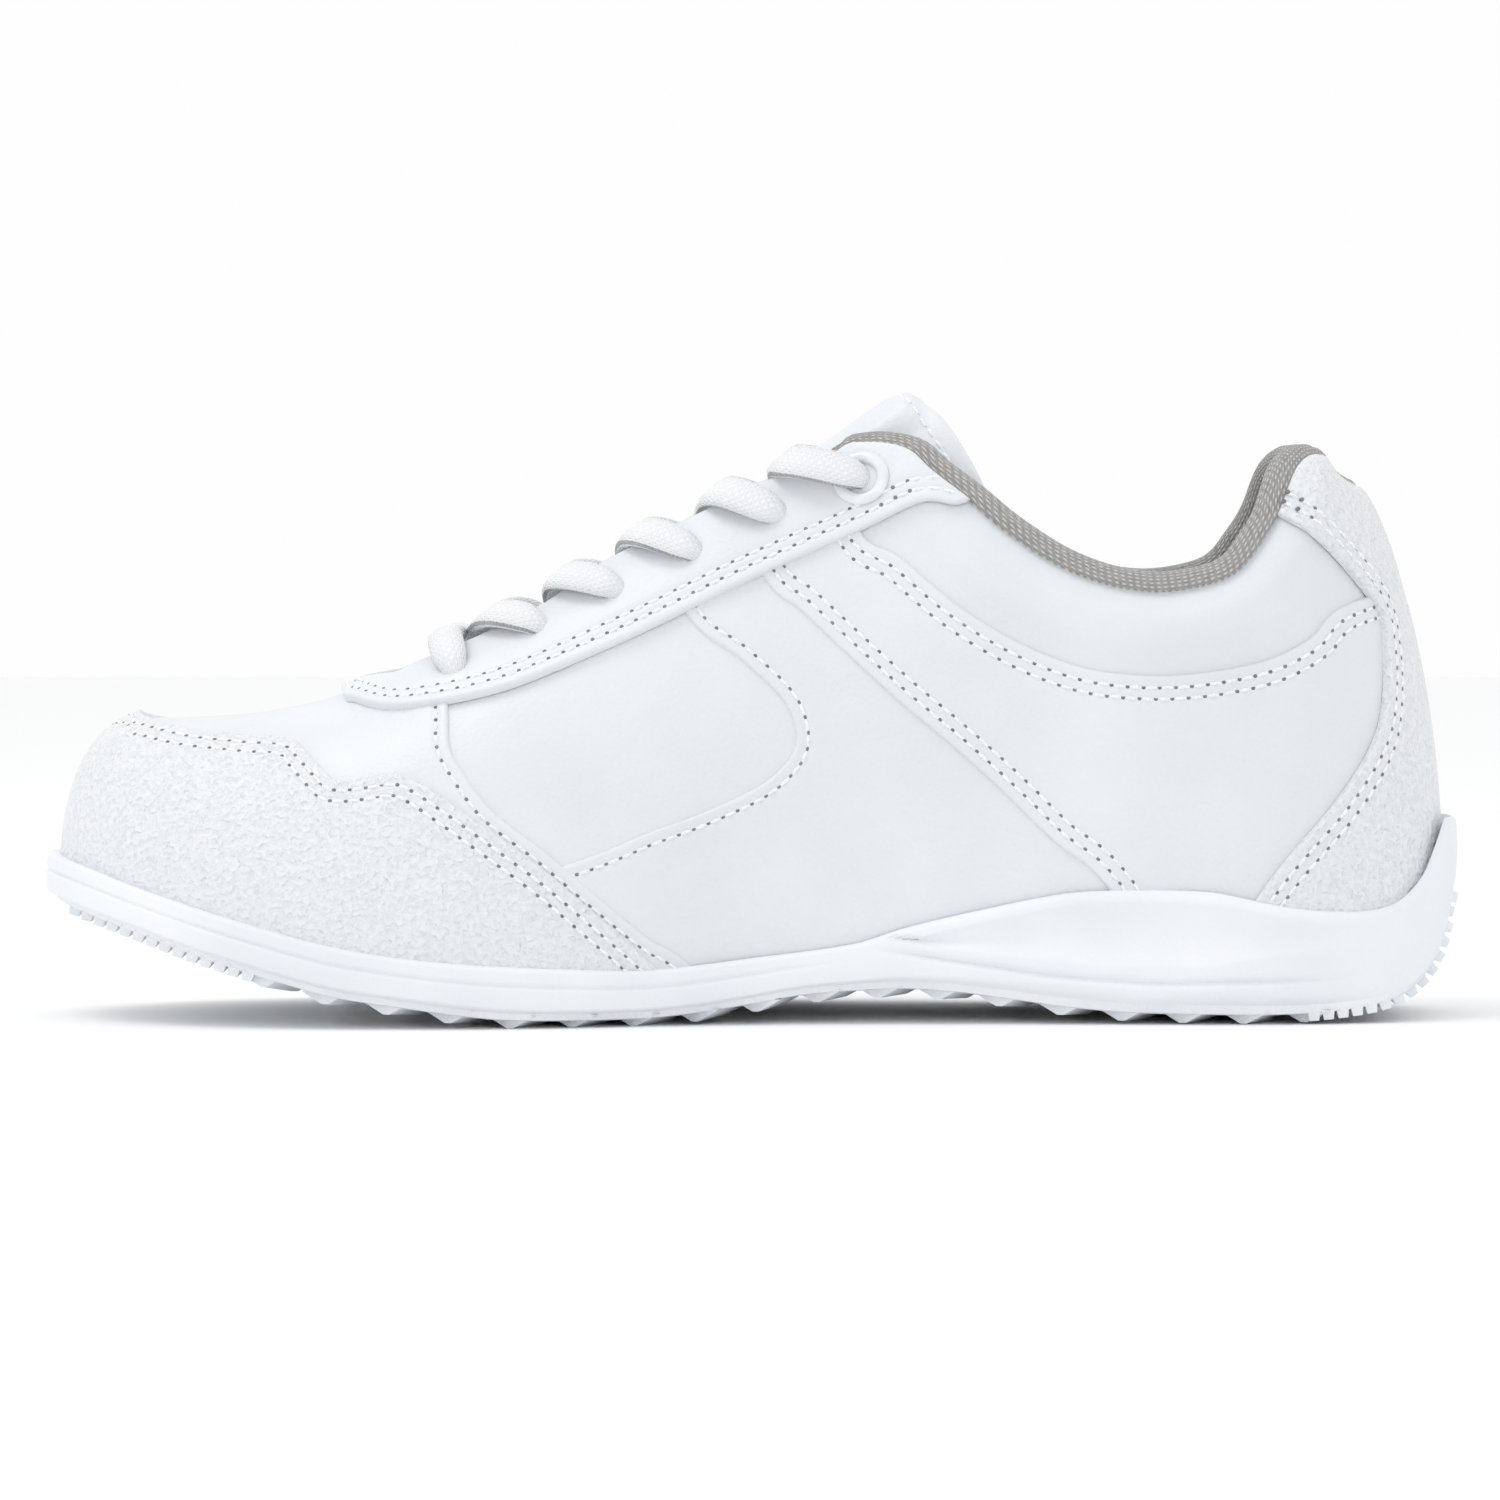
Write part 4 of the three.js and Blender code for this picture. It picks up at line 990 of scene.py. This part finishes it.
def at_every_pitch(tree, given, lines, thing):
    """Sets a thing out along lines, its Z along the point's away direction and its X along the line."""
    spaced = add(tree, "GeometryNodeResampleCurve", {"mode": "LENGTH"}, {
        "Curve": lines, "Length": given["Pitch"]})
    away = add(tree, "GeometryNodeInputNamedAttribute", {"data_type": "FLOAT_VECTOR"}, {"Name": "away"})
    tangent = add(tree, "GeometryNodeInputTangent")
    turned = add(tree, "FunctionNodeAxesToRotation", {"primary_axis": "Z", "secondary_axis": "X"}, {
        "Primary Axis": away.outputs["Attribute"], "Secondary Axis": tangent.outputs["Tangent"]})
    return add(tree, "GeometryNodeInstanceOnPoints", inputs={
        "Points": spaced.outputs["Curve"], "Instance": thing, "Rotation": turned.outputs[0]}).outputs[0]


def made_real(tree, geometry, result, material):
    """Ends a tree: real geometry in its material, and any needle-hole discs in their material of painted
    shade.
    """
    real = add(tree, "GeometryNodeRealizeInstances", inputs={"Geometry": geometry})
    dressed = add(tree, "GeometryNodeSetMaterial", inputs={"Geometry": real.outputs[0], "Material": material})
    if material == THREAD:
        is_hole = add(tree, "GeometryNodeInputNamedAttribute", {"data_type": "BOOLEAN"}, {
            "Name": "needle_hole_shade"})
        dressed = add(tree, "GeometryNodeSetMaterial", inputs={
            "Geometry": dressed.outputs[0], "Selection": is_hole.outputs["Attribute"], "Material": HOLE_SHADE})
    add(tree, "NodeGroupOutput", inputs={result: dressed.outputs[0]})
    return tree


def stitch_tree():
    """One thread stitch at every pitch along the seams, bowed up between two needle holes, with a dark grey
    disc of painted shade in each hole.
    """
    tree, given, lines = start_tree("stitch row", "Stitches", Pitch=0.003, Stitch_length=0.0024,
                                    Thread_thickness=0.0007, Hole_radius=0.0004)
    thick, radius = given["Thread thickness"], given["Hole radius"]
    half = calculated(tree, "MULTIPLY", given["Stitch length"], 0.5)
    back = calculated(tree, "MULTIPLY", half, -1.0)
    drop = calculated(tree, "MULTIPLY", thick, -0.75)
    rise = calculated(tree, "MULTIPLY", thick, 1.15)
    start = add(tree, "ShaderNodeCombineXYZ", inputs={"X": back, "Z": drop})
    middle = add(tree, "ShaderNodeCombineXYZ", inputs={"Z": rise})
    stop = add(tree, "ShaderNodeCombineXYZ", inputs={"X": half, "Z": drop})
    bow = add(tree, "GeometryNodeCurveQuadraticBezier", inputs={
        "Resolution": 5, "Start": start.outputs[0], "Middle": middle.outputs[0], "End": stop.outputs[0]})
    ring = add(tree, "GeometryNodeCurvePrimitiveCircle", inputs={
        "Resolution": 6, "Radius": calculated(tree, "MULTIPLY", thick, 0.5)})
    thread = add(tree, "GeometryNodeCurveToMesh", inputs={
        "Curve": bow.outputs["Curve"], "Profile Curve": ring.outputs["Curve"], "Fill Caps": True})
    round_thread = add(tree, "GeometryNodeSetShadeSmooth", inputs={0: thread.outputs["Mesh"]})
    # A dark grey disc sunk at each needle hole: painted shade inside the hole.
    hole = add(tree, "GeometryNodeMeshCone", {"fill_type": "NGON"}, {
        "Vertices": 7, "Radius Top": radius, "Radius Bottom": radius, "Depth": thick})
    there = add(tree, "ShaderNodeCombineXYZ", inputs={
        "X": calculated(tree, "MULTIPLY", given["Pitch"], 0.5),
        "Z": calculated(tree, "MULTIPLY", thick, -0.93)})
    moved = add(tree, "GeometryNodeTransform", inputs={
        "Geometry": hole.outputs["Mesh"], "Translation": there.outputs[0]})
    holed = add(tree, "GeometryNodeStoreNamedAttribute", {"data_type": "BOOLEAN", "domain": "FACE"}, {
        "Geometry": moved.outputs[0], "Name": "needle_hole_shade", "Value": True})
    both = add(tree, "GeometryNodeJoinGeometry", inputs={0: round_thread.outputs[0]})
    tree.links.new(holed.outputs[0], both.inputs[0])
    return made_real(tree, at_every_pitch(tree, given, lines, both.outputs[0]), "Stitches", THREAD)


STITCHES = stitch_tree()


def made_by(tree, name, carrier):
    """Runs a tree on a mesh of lines and returns its result as a plain mesh object."""
    modifier = carrier.modifiers.new("tree", "NODES")
    modifier.node_group = tree
    for item in tree.interface.items_tree:
        if item.in_out == "INPUT" and item.socket_type == "NodeSocketFloat":
            modifier[item.identifier] = item.default_value
    graph = bpy.context.evaluated_depsgraph_get()
    mesh = bpy.data.meshes.new_from_object(carrier.evaluated_get(graph))
    mesh.name = name
    carrier.modifiers.remove(modifier)
    bpy.data.objects.remove(carrier)
    return in_scene(name, mesh)


def seam_lines(name, runs):
    """Lines as a mesh of edges, each point with the direction away from the leather."""
    points, away, edges = [], [], []
    for line, normals in runs:
        first = len(points)
        points += list((line + SHIFT) * MM)
        away += list(normals)
        edges += [(first + i, first + i + 1) for i in range(len(line) - 1)]
    mesh = bpy.data.meshes.new(name)
    mesh.from_pydata(points, edges, [])
    layer = mesh.attributes.new("away", "FLOAT_VECTOR", "POINT")
    layer.data.foreach_set("vector", np.array(away, float).ravel())
    return in_scene(name, mesh)


def evened(line, normals, step=1.0):
    """The same line with its points evenly spaced and its small wobbles taken out."""
    for _ in range(4):
        line[1:-1] = (line[:-2] + 2 * line[1:-1] + line[2:]) / 4
    length = distance_along(line)
    at = np.linspace(0, length[-1], max(3, int(length[-1] / step)))
    return [np.stack([np.interp(at, length, column) for column in part.T], 1) for part in (line, normals)]


SHORTEST_ROW = 9


def stitch(cut, depth, name, *levels, inward=False):
    """Rows of stitches on a piece, at levels of one distance."""
    surface = cut.inside(-depth) if inward else cut.at(depth)
    normal = cut.get("nx", "ny", "nz")
    clear = (cut.get("mouth") > 1.3) | inward
    clear &= cut.get("z") > rim_line(cut.get("x")) - 2.5
    runs = []
    for level in levels:
        for chain in cut.line(name, level):
            chain = [k for k in chain if clear[k]]
            if len(chain) < 5:
                continue
            line, away = surface[chain].copy(), normal[chain].copy()
            if distance_along(line)[-1] > SHORTEST_ROW:
                runs.append(evened(line, away))
    return runs


# ---------- upper ----------

every = Cut().keep("mouth").mark("mouth", *EDGE_STEPS)
seams = {}


def collar_swell(cut):
    """How far the foam pushes the leather of the collar out."""
    back = ease(cut.get("x"), 24, 46)
    puff = ease(cut.get("collar"), 0, 7) * ease(cut.get("mouth"), 0, 7) * back
    flat_heel = 1 - 0.9 * ease(cut.get("x"), 98, 114)
    return 2.4 * puff * flat_heel - 0.9 * back * np.exp(-cut.get("mouth") / 1.1)


def layered(cut, lift, *edges):
    """The outer depth of a panel: lifted where its edge lies on a neighbour, and rolled there."""
    depth = np.zeros(len(cut.table))
    for name in edges:
        distance = np.abs(cut.get(name))
        depth += lift * np.exp(-(distance / LIFT_REACH) ** 2) - rolled(distance)
    return depth


# Heights of the layers over the last's surface, so minus is inwards
LEATHER_BACK = -1.2
TUCKED_UNDER = 0.6
STIFFENER = -1.5, -2.5
CLOTH = -2.8, -3.6
BEHIND = [-step for step in EDGE_STEPS + ROW_STEPS]
SIDES = {"medial": False, "lateral": True}
OVERLAY = 1.5

vamp = every.keep("vamp").mark("vamp", *EDGE_STEPS, *ROW_STEPS)
depth = layered(vamp, 0.9, "vamp") - pulled(vamp.get("vamp"), STITCH_FIRST)
layer("vamp", vamp, depth, LEATHER_BACK, SMOOTH)
seams["vamp"] = stitch(vamp, depth, "vamp", STITCH_FIRST)

for side, lateral in SIDES.items():
    half = every.keep("y", 0.0, lateral)
    behind_vamp = half.keep("vamp", TUCKED_UNDER, False)
    window = behind_vamp.keep("window", -TUCKED_UNDER)
    layer(f"window_insert_{side}", window, -0.15, LEATHER_BACK, SMOOTH)
    middle = behind_vamp.keep("window", 0.0, False).keep("diagonal", -TUCKED_UNDER).mark("window", *BEHIND)
    depth = layered(middle, 0.6, "window") - pulled(-middle.get("window"), STITCH_FIRST)
    layer(f"midfoot_panel_{side}", middle, depth, LEATHER_BACK, SMOOTH)
    seams[f"midfoot_{side}"] = stitch(middle, depth, "window", -STITCH_FIRST)
    rear = half.keep("diagonal", 0.0, False).keep("collar", 0.0, False)
    rear = rear.mark("diagonal", *BEHIND).mark("collar", *BEHIND)
    depth = layered(rear, 0.8, "diagonal", "collar")
    for name in ("diagonal", "collar"):
        depth -= pulled(-rear.get(name), STITCH_FIRST, STITCH_SECOND)
    layer(f"rear_quarter_{side}", rear, depth, LEATHER_BACK, SMOOTH)
    seams[f"rear_{side}"] = (stitch(rear, depth, "diagonal", -STITCH_FIRST, -STITCH_SECOND)
                             + stitch(rear, depth, "collar", -STITCH_FIRST, -STITCH_SECOND))
    collar = half.keep("collar", -TUCKED_UNDER)
    layer(f"collar_panel_{side}", collar, collar_swell(collar) - 0.2, LEATHER_BACK, SMOOTH)

for name, edge, finish in (("toe_overlay", "toe", GRAIN), ("eyestay", "eyestay", STAY),
                           ("heel_overlay", "heel", GRAIN)):
    cut = every.keep(edge)
    if name == "heel_overlay":
        cut = cut.keep("eyestay", 0.0, False)
    cut = cut.mark(edge, *EDGE_STEPS, *ROW_STEPS)
    depth = OVERLAY + 0.5 * np.exp(-(cut.get(edge) / 8) ** 2) - rolled(cut.get(edge))
    depth -= pulled(cut.get(edge), STITCH_FIRST, STITCH_SECOND) + rolled(cut.get("mouth"), 0.6)
    swell = 0 if name == "toe_overlay" else collar_swell(cut)
    layer(name, cut, depth + swell, 0.1 + swell, finish)
    seams[name] = stitch(cut, depth + swell, edge, STITCH_FIRST, STITCH_SECOND)

for name, runs in seams.items():
    place(made_by(STITCHES, f"{name}_stitches", seam_lines(name, runs)), "shoe", SEWING)

# Hidden layers, laid smooth between the leather and the lining
PUFF_END, FORE_END, COUNTER_START = -86, -12, 78
BUTT_GAP = 0.3
OFF_BOARD = 1.8
stiff = every.keep("eyestay", 0.0, False).keep("floor", OFF_BOARD)
layer("toe_puff", stiff.keep("x", PUFF_END - BUTT_GAP, False), *STIFFENER, BOARD)
layer("vamp_backing", stiff.keep("x", PUFF_END).keep("x", FORE_END - BUTT_GAP, False), *STIFFENER, PADDING)
low = stiff.keep("x", FORE_END).keep("collar", -BUTT_GAP, False)
quarters = low.keep("x", COUNTER_START - BUTT_GAP, False)
for side, lateral in SIDES.items():
    layer(f"quarter_backing_{side}", quarters.keep("y", 0.0, lateral), *STIFFENER, PADDING)
layer("heel_counter", low.keep("x", COUNTER_START), *STIFFENER, BOARD)
lining = every.keep("floor", OFF_BOARD)
layer("vamp_lining", lining.keep("x", FORE_END - BUTT_GAP, False), *CLOTH, LINING)
layer("quarter_lining", lining.keep("x", FORE_END).keep("collar", 0.0, False), *CLOTH, LINING)

# The padded collar: foam under the leather, and the knit that rolls over the rim and down inside
padded = every.keep("collar", 0.3).keep("x", 20)
depth_in = -3.0 - 3.3 * ease(padded.get("collar"), 0, 9) * ease(padded.get("x"), 20, 36)
layer("collar_foam", padded, -1.4, depth_in, PADDING)


def knit_depths(cut):
    """Outer and inner depth of the knit: a lining below the edge, a full round roll above it."""
    front = ease(cut.get("x"), 18, 36)
    swell = ease(cut.get("collar"), 0, 9) * front
    rim = cut.get("rim")
    roll = np.sqrt(np.clip(1 - np.clip(rim, 0, 1) ** 2, 0, 1))
    inner_flat = -3.6 - 4.3 * swell
    centre = (inner_flat - 0.2) / 2
    thick = (-0.2 - inner_flat) / 2
    inner = centre - thick * roll
    lower = ease(-rim, 0.0, 0.45)
    outer = (centre + (thick + 0.5) * roll) * (1 - lower) + (inner + 0.8) * lower
    return outer, inner


def rolled_cloth(cut):
    """Cloth directions that go up the outside of the roll, over it and down inside."""
    rim = cut.get("rim")
    up = BINDING * np.where(rim > 0, np.arcsin(np.clip(rim, 0, 1)), rim)
    across = np.concatenate([up, BINDING * math.pi - up])
    return np.column_stack([np.tile(cut.get("u"), 2), across])


knit = Cut().keep("rim", 1.0, False).mark("rim", 0.98, 0.92, 0.8, 0.62, 0.4, 0.15, 0.0, -0.15, -0.4)
bind = knit.keep("x", -4.0).keep("rim", -1.4)
outer, inner = knit_depths(bind)
layer("collar_binding", bind, outer, inner, KNIT, uv=rolled_cloth(bind), replaces_node=False)
inside = knit.keep("collar", 0.0).keep("rim", -1.4, False)
outer, inner = knit_depths(inside)
layer("collar_lining", inside, outer, inner, MESH, uv=rolled_cloth(inside))

# ---------- tongue ----------

tongue = Cut().keep("tongue").keep("x", -80).mark("tongue", *EDGE_STEPS, *ROW_STEPS)
edge = tongue.get("tongue")
crown = 1.2 * ease(edge, 1, 9) + 2.6 * ease(-tongue.get("throat"), 0.5, 6)
edge_roll = rolled(edge, 1.2)
cover_out = -TONGUE_DEPTH + crown - edge_roll * 1.4 - pulled(edge, STITCH_SECOND)
inner_part = {"body": "tongue", "inward": True}
layer("tongue_cover", tongue, cover_out, -11.6, SMOOTH, **inner_part)
tongue_foam = layer("tongue_foam", tongue.keep("tongue", 1.3), -11.7, -14.2, PADDING, **inner_part)
layer("tongue_lining", tongue, -14.3 + edge_roll * 2, -15.0 + edge_roll * 2.2, MESH, **inner_part)
runs = stitch(tongue, cover_out, "tongue", STITCH_SECOND, inward=True)
place(made_by(STITCHES, "tongue_stitches", seam_lines("tongue", runs)), "tongue", SEWING)


# ---------- eyelets ----------

def turned_ring(name, profile, centre, normal, finish, sides=48):
    """A ring turned from a closed profile of radius and height."""
    profile = np.array(profile)
    first = np.cross(normal, [0.0, 1, 0])
    first /= np.linalg.norm(first)
    second = np.cross(normal, first)
    angle = np.arange(sides) * 2 * math.pi / sides
    round_way = np.cos(angle)[:, None] * first + np.sin(angle)[:, None] * second
    points = centre + round_way[:, None] * profile[None, :, :1] + normal * profile[None, :, 1:]
    count = len(profile)
    i, j = np.meshgrid(np.arange(sides), np.arange(count), indexing="ij")
    corner = [i * count + j, (i + 1) % sides * count + j, (i + 1) % sides * count + (j + 1) % count,
              i * count + (j + 1) % count]
    piece = to_mesh(name, points.reshape(-1, 3), np.stack(corner, -1).reshape(-1, 4))
    return place(piece, "shoe", finish, name)


RING = [(3.0, -3.9), (3.6, -3.9), (3.6, 1.4), (5.0, 1.45), (5.4, 1.75), (5.35, 2.2), (4.9, 2.6), (4.2, 2.75),
        (3.5, 2.6), (3.1, 2.1)]
for side in OTHER:
    turned_ring(f"eyelet_ring_{side}", RING[::-1], *holes[side][-1], ENAMEL)

# ---------- sole ----------

ROUND = 480
ACROSS = 28
turns = np.arange(ROUND) / ROUND
ring_ground, ring_out = ground(turns), outward(turns)


def sole_body(name, rings, finish, crown_low=0.0, crown_top=0.0):
    """A body between rings of points, closed below and above by rows across the foot."""
    points, faces, count = [np.concatenate(rings)], [], ROUND
    for level in range(len(rings) - 1):
        a = level * count + np.arange(count)
        b = level * count + (np.arange(count) + 1) % count
        faces += [tuple(f) for f in np.stack([a, b, b + count, a + count], 1)]
    total = len(rings) * count
    for level, upward, crown in ((0, False, crown_low), (len(rings) - 1, True, crown_top)):
        ring = rings[level]
        grid = np.zeros((count // 2 + 1, ACROSS + 1), int)
        for i in range(count // 2 + 1):
            grid[i, 0], grid[i, -1] = level * count + i, level * count + (count - i) % count
        grid[0, :], grid[-1, :] = level * count, level * count + count // 2
        inner = np.arange(1, count // 2)
        share = np.arange(1, ACROSS) / ACROSS
        left, right = ring[inner], ring[count - inner]
        fresh = left[:, None] * (1 - share)[None, :, None] + right[:, None] * share[None, :, None]
        fresh[..., 2] += crown * (1 - (2 * share - 1) ** 2)
        grid[1:-1, 1:-1] = total + np.arange(len(inner) * len(share)).reshape(len(inner), len(share))
        points.append(fresh.reshape(-1, 3))
        total += fresh.shape[0] * fresh.shape[1]
        quads = np.stack([grid[:-1, :-1], grid[1:, :-1], grid[1:, 1:], grid[:-1, 1:]], -1).reshape(-1, 4)
        quads = quads if upward else quads[:, ::-1]
        for quad in quads:
            corners = list(dict.fromkeys(int(k) for k in quad))
            if len(corners) > 2:
                faces.append(tuple(corners))
    piece = to_mesh(name, np.concatenate(points), faces)
    piece.data.set_sharp_from_angle(angle=math.radians(42))
    return place(piece, "shoe", finish, name)


def edge_ring(offset, height):
    offset = np.broadcast_to(offset, (ROUND,))
    flat = ring_ground + ring_out * offset[:, None]
    z = height(flat[:, 0]) if callable(height) else height
    return np.column_stack([flat, np.broadcast_to(z, (ROUND,))])


def close_ring(height, gap):
    """A ring that hugs the upper at a height line."""
    z = height(ring_ground[:, 0])
    floor_z = floor_line(ring_ground[:, 0])
    middle = (ring_ground[:, 0] + ring_ground[(ROUND - np.arange(ROUND)) % ROUND, 0]) / 2
    top = ridge_line(ridge_start(middle))
    power = 2 / squareness(middle)
    share = np.clip((z - floor_z) / (top - floor_z), 0, 0.9)
    climb = np.arcsin(share ** (1 / power)) * 2 / math.pi
    flat = skin(turns, climb)[:, :2] + ring_out * gap
    return np.column_stack([flat, z])


inset = 3.0 * (1 - ease(ring_ground[:, 0], 100, 124))


def midsole_rings():
    """The side wall from the bottom to the rim, with its rounded foot, scoop, groove and ridge."""
    foot = edge_ring(SOLE_EDGE - inset, lambda x: sole_line(x) + 0.9)
    head = edge_ring(SOLE_EDGE - 0.3, rim_line)
    rings = []
    for s in np.concatenate([np.linspace(0, 0.12, 6), np.linspace(0.15, 0.9, 44), np.linspace(0.92, 1, 7)]):
        low = foot[:, 2] * (1 - s) + head[:, 2] * s
        x = ring_ground[:, 0]
        offset = SOLE_EDGE - inset * np.clip(1 - s / 0.16, 0, 1) ** 2
        offset = offset - 0.9 * np.clip((s - 0.9) / 0.1, 0, 1) ** 2.4 + 0.35 * np.sin(math.pi * s)
        back = ease(x, 20, 36) * (1 - ease(x, 92, 116))
        groove = np.interp(x, [20, 37.7, 56.7, 75.8, 110], [14.6, 12, 9.2, 7.9, 8.6])
        upper = np.interp(x, [20, 47, 66, 85, 104], [16.8, 13, 11, 11, 14])
        scoop = np.clip((low - upper) / np.maximum(head[:, 2] - 2.2 - upper, 1), 0, 1)
        offset = offset - back * (0.9 * np.exp(-((low - groove) / 0.55) ** 2) + 1.3 * np.sin(math.pi * scoop))
        fore = 1 - ease(x, -4, 18)
        line = head[:, 2] * 0.62 + foot[:, 2] * 0.38
        offset = offset - 0.45 * fore * np.exp(-((low - line) / 0.4) ** 2)
        flat = ring_ground + ring_out * offset[:, None]
        rings.append(np.column_stack([flat, low]))
    return rings


def above(line, rise):
    """A height line that runs a little above another one."""
    return lambda x: line(x) + rise


inner_wall = [close_ring(above(rim_line, 0.05), 0.45), close_ring(above(rim_line, -1.2), 0.3),
              close_ring(above(floor_line, 1.0), 0.3), edge_ring(0.3, above(floor_line, -0.4))]
sole_body("midsole", midsole_rings() + inner_wall, FOAM)

plate_edge = SOLE_EDGE - 0.5 * inset - 0.25
plate = [edge_ring(plate_edge + out, above(sole_line, rise))
         for out, rise in ((-0.7, -0.15), (-0.1, 0.05), (0.1, 0.5), (0.05, 1.8))]
sole_body("outsole", plate, RUBBER)


def lug_tree():
    """A tapered rubber bar along every path on the bottom of the sole."""
    tree, given, lines = start_tree("zigzag lugs", "Lugs", Bar_width=0.0104, Bar_height=0.0024)
    tip = calculated(tree, "MULTIPLY", given["Bar width"], 0.12)
    profile = add(tree, "GeometryNodeCurvePrimitiveQuadrilateral", {"mode": "TRAPEZOID"}, {
        "Bottom Width": given["Bar width"], "Top Width": tip, "Height": given["Bar height"], "Offset": 0.0})
    upright = add(tree, "GeometryNodeSetCurveNormal", {"mode": "Z_UP"}, {"Curve": lines})
    bars = add(tree, "GeometryNodeCurveToMesh", inputs={
        "Curve": upright.outputs[0], "Profile Curve": profile.outputs[0], "Fill Caps": True})
    return made_real(tree, bars.outputs[0], "Lugs", RUBBER[0])


def tooth_tree():
    """A tapered tooth at every pitch along a line."""
    tree, given, lines = start_tree("edge teeth", "Teeth", Pitch=0.003, Tooth_size=0.0017,
                                    Tooth_height=0.0018)
    tooth = add(tree, "GeometryNodeMeshCone", {"fill_type": "NGON"}, {
        "Vertices": 4, "Depth": given["Tooth height"],
        "Radius Bottom": calculated(tree, "MULTIPLY", given["Tooth size"], 0.72),
        "Radius Top": calculated(tree, "MULTIPLY", given["Tooth size"], 0.55)})
    squared = add(tree, "GeometryNodeTransform", inputs={
        "Geometry": tooth.outputs["Mesh"], "Rotation": (0.0, 0.0, math.pi / 4), "Scale": (1.4, 1.32, 1.0)})
    return made_real(tree, at_every_pitch(tree, given, lines, squared.outputs[0]), "Teeth", RUBBER[0])


def half_width(x, side):
    """How far the sole's bottom reaches sideways at x."""
    flat = ring_ground + ring_out * (plate_edge - 1.6)[:, None]
    mine = flat[flat[:, 1] * side > 0]
    order = np.argsort(mine[:, 0])
    return abs(np.interp(x, mine[order, 0], mine[order, 1]))


LUG_PITCH = 11.4
ZIGZAG = 2.6
LUG_MIDDLE = 1.22
bars = []
for x in np.arange(-88, 106, LUG_PITCH):
    ends = -half_width(x, -1) + 0.4, half_width(x, 1) - 0.4
    ys = np.linspace(*ends, max(5, int((ends[1] - ends[0]) / 9)) // 2 * 2 + 1)
    xs = x + np.where(np.arange(len(ys)) % 2, ZIGZAG, -ZIGZAG)
    low = np.maximum(sole_line(xs) - 0.6, LUG_MIDDLE)
    bars.append((np.stack([xs, ys, low], 1), np.tile([0.0, 0, -1], (len(ys), 1))))
place(made_by(lug_tree(), "zigzag_lugs", seam_lines("lug paths", bars)), "shoe", TREAD)


def rows_of_teeth(start, stop, pitch=2.75):
    """Lines across the sole, a pitch apart along its curve, each with the direction of its teeth."""
    x = np.linspace(start, stop, 400)
    z = sole_line(x)
    along = distance_along(np.column_stack([x, z]))
    lines = []
    for x_row in np.interp(np.arange(0, along[-1], pitch), along, x):
        slope = float(sole_line(x_row + 0.1) - sole_line(x_row - 0.1)) / 0.2
        facing = np.array([slope, 0, -1]) / math.hypot(slope, 1)
        ys = np.linspace(-half_width(x_row, -1) - 0.4, half_width(x_row, 1) + 0.4, 24)
        row = np.column_stack([ys * 0 + x_row, ys, ys * 0 + float(sole_line(x_row))]) - facing * 0.25
        lines.append((row, np.tile(facing, (len(ys), 1))))
    return lines


teeth = seam_lines("rows of teeth", rows_of_teeth(-127.5, -93) + rows_of_teeth(105, 133))
place(made_by(tooth_tree(), "edge_teeth", teeth), "shoe", TREAD)

# ---------- footbed ----------

BED_EDGE = -5.2
SAG = -0.8


def bed_rings(*steps):
    return [edge_ring(edge, above(floor_line, rise)) for edge, rise in steps]


sole_body("insole_board", bed_rings((-2.2, 0.1), (-2.2, 1.5)), BOARD)
foam_rings = bed_rings((BED_EDGE, 1.8), (BED_EDGE + 0.8, 2.4), (BED_EDGE + 0.8, 5.3))
sole_body("footbed_foam", foam_rings, PADDING, crown_top=SAG)
cloth_rings = bed_rings((BED_EDGE + 0.8, 5.5), (BED_EDGE + 1.0, 5.9), (BED_EDGE + 0.6, 6.3))
sole_body("footbed_cloth", cloth_rings, MESH, crown_low=SAG, crown_top=SAG)
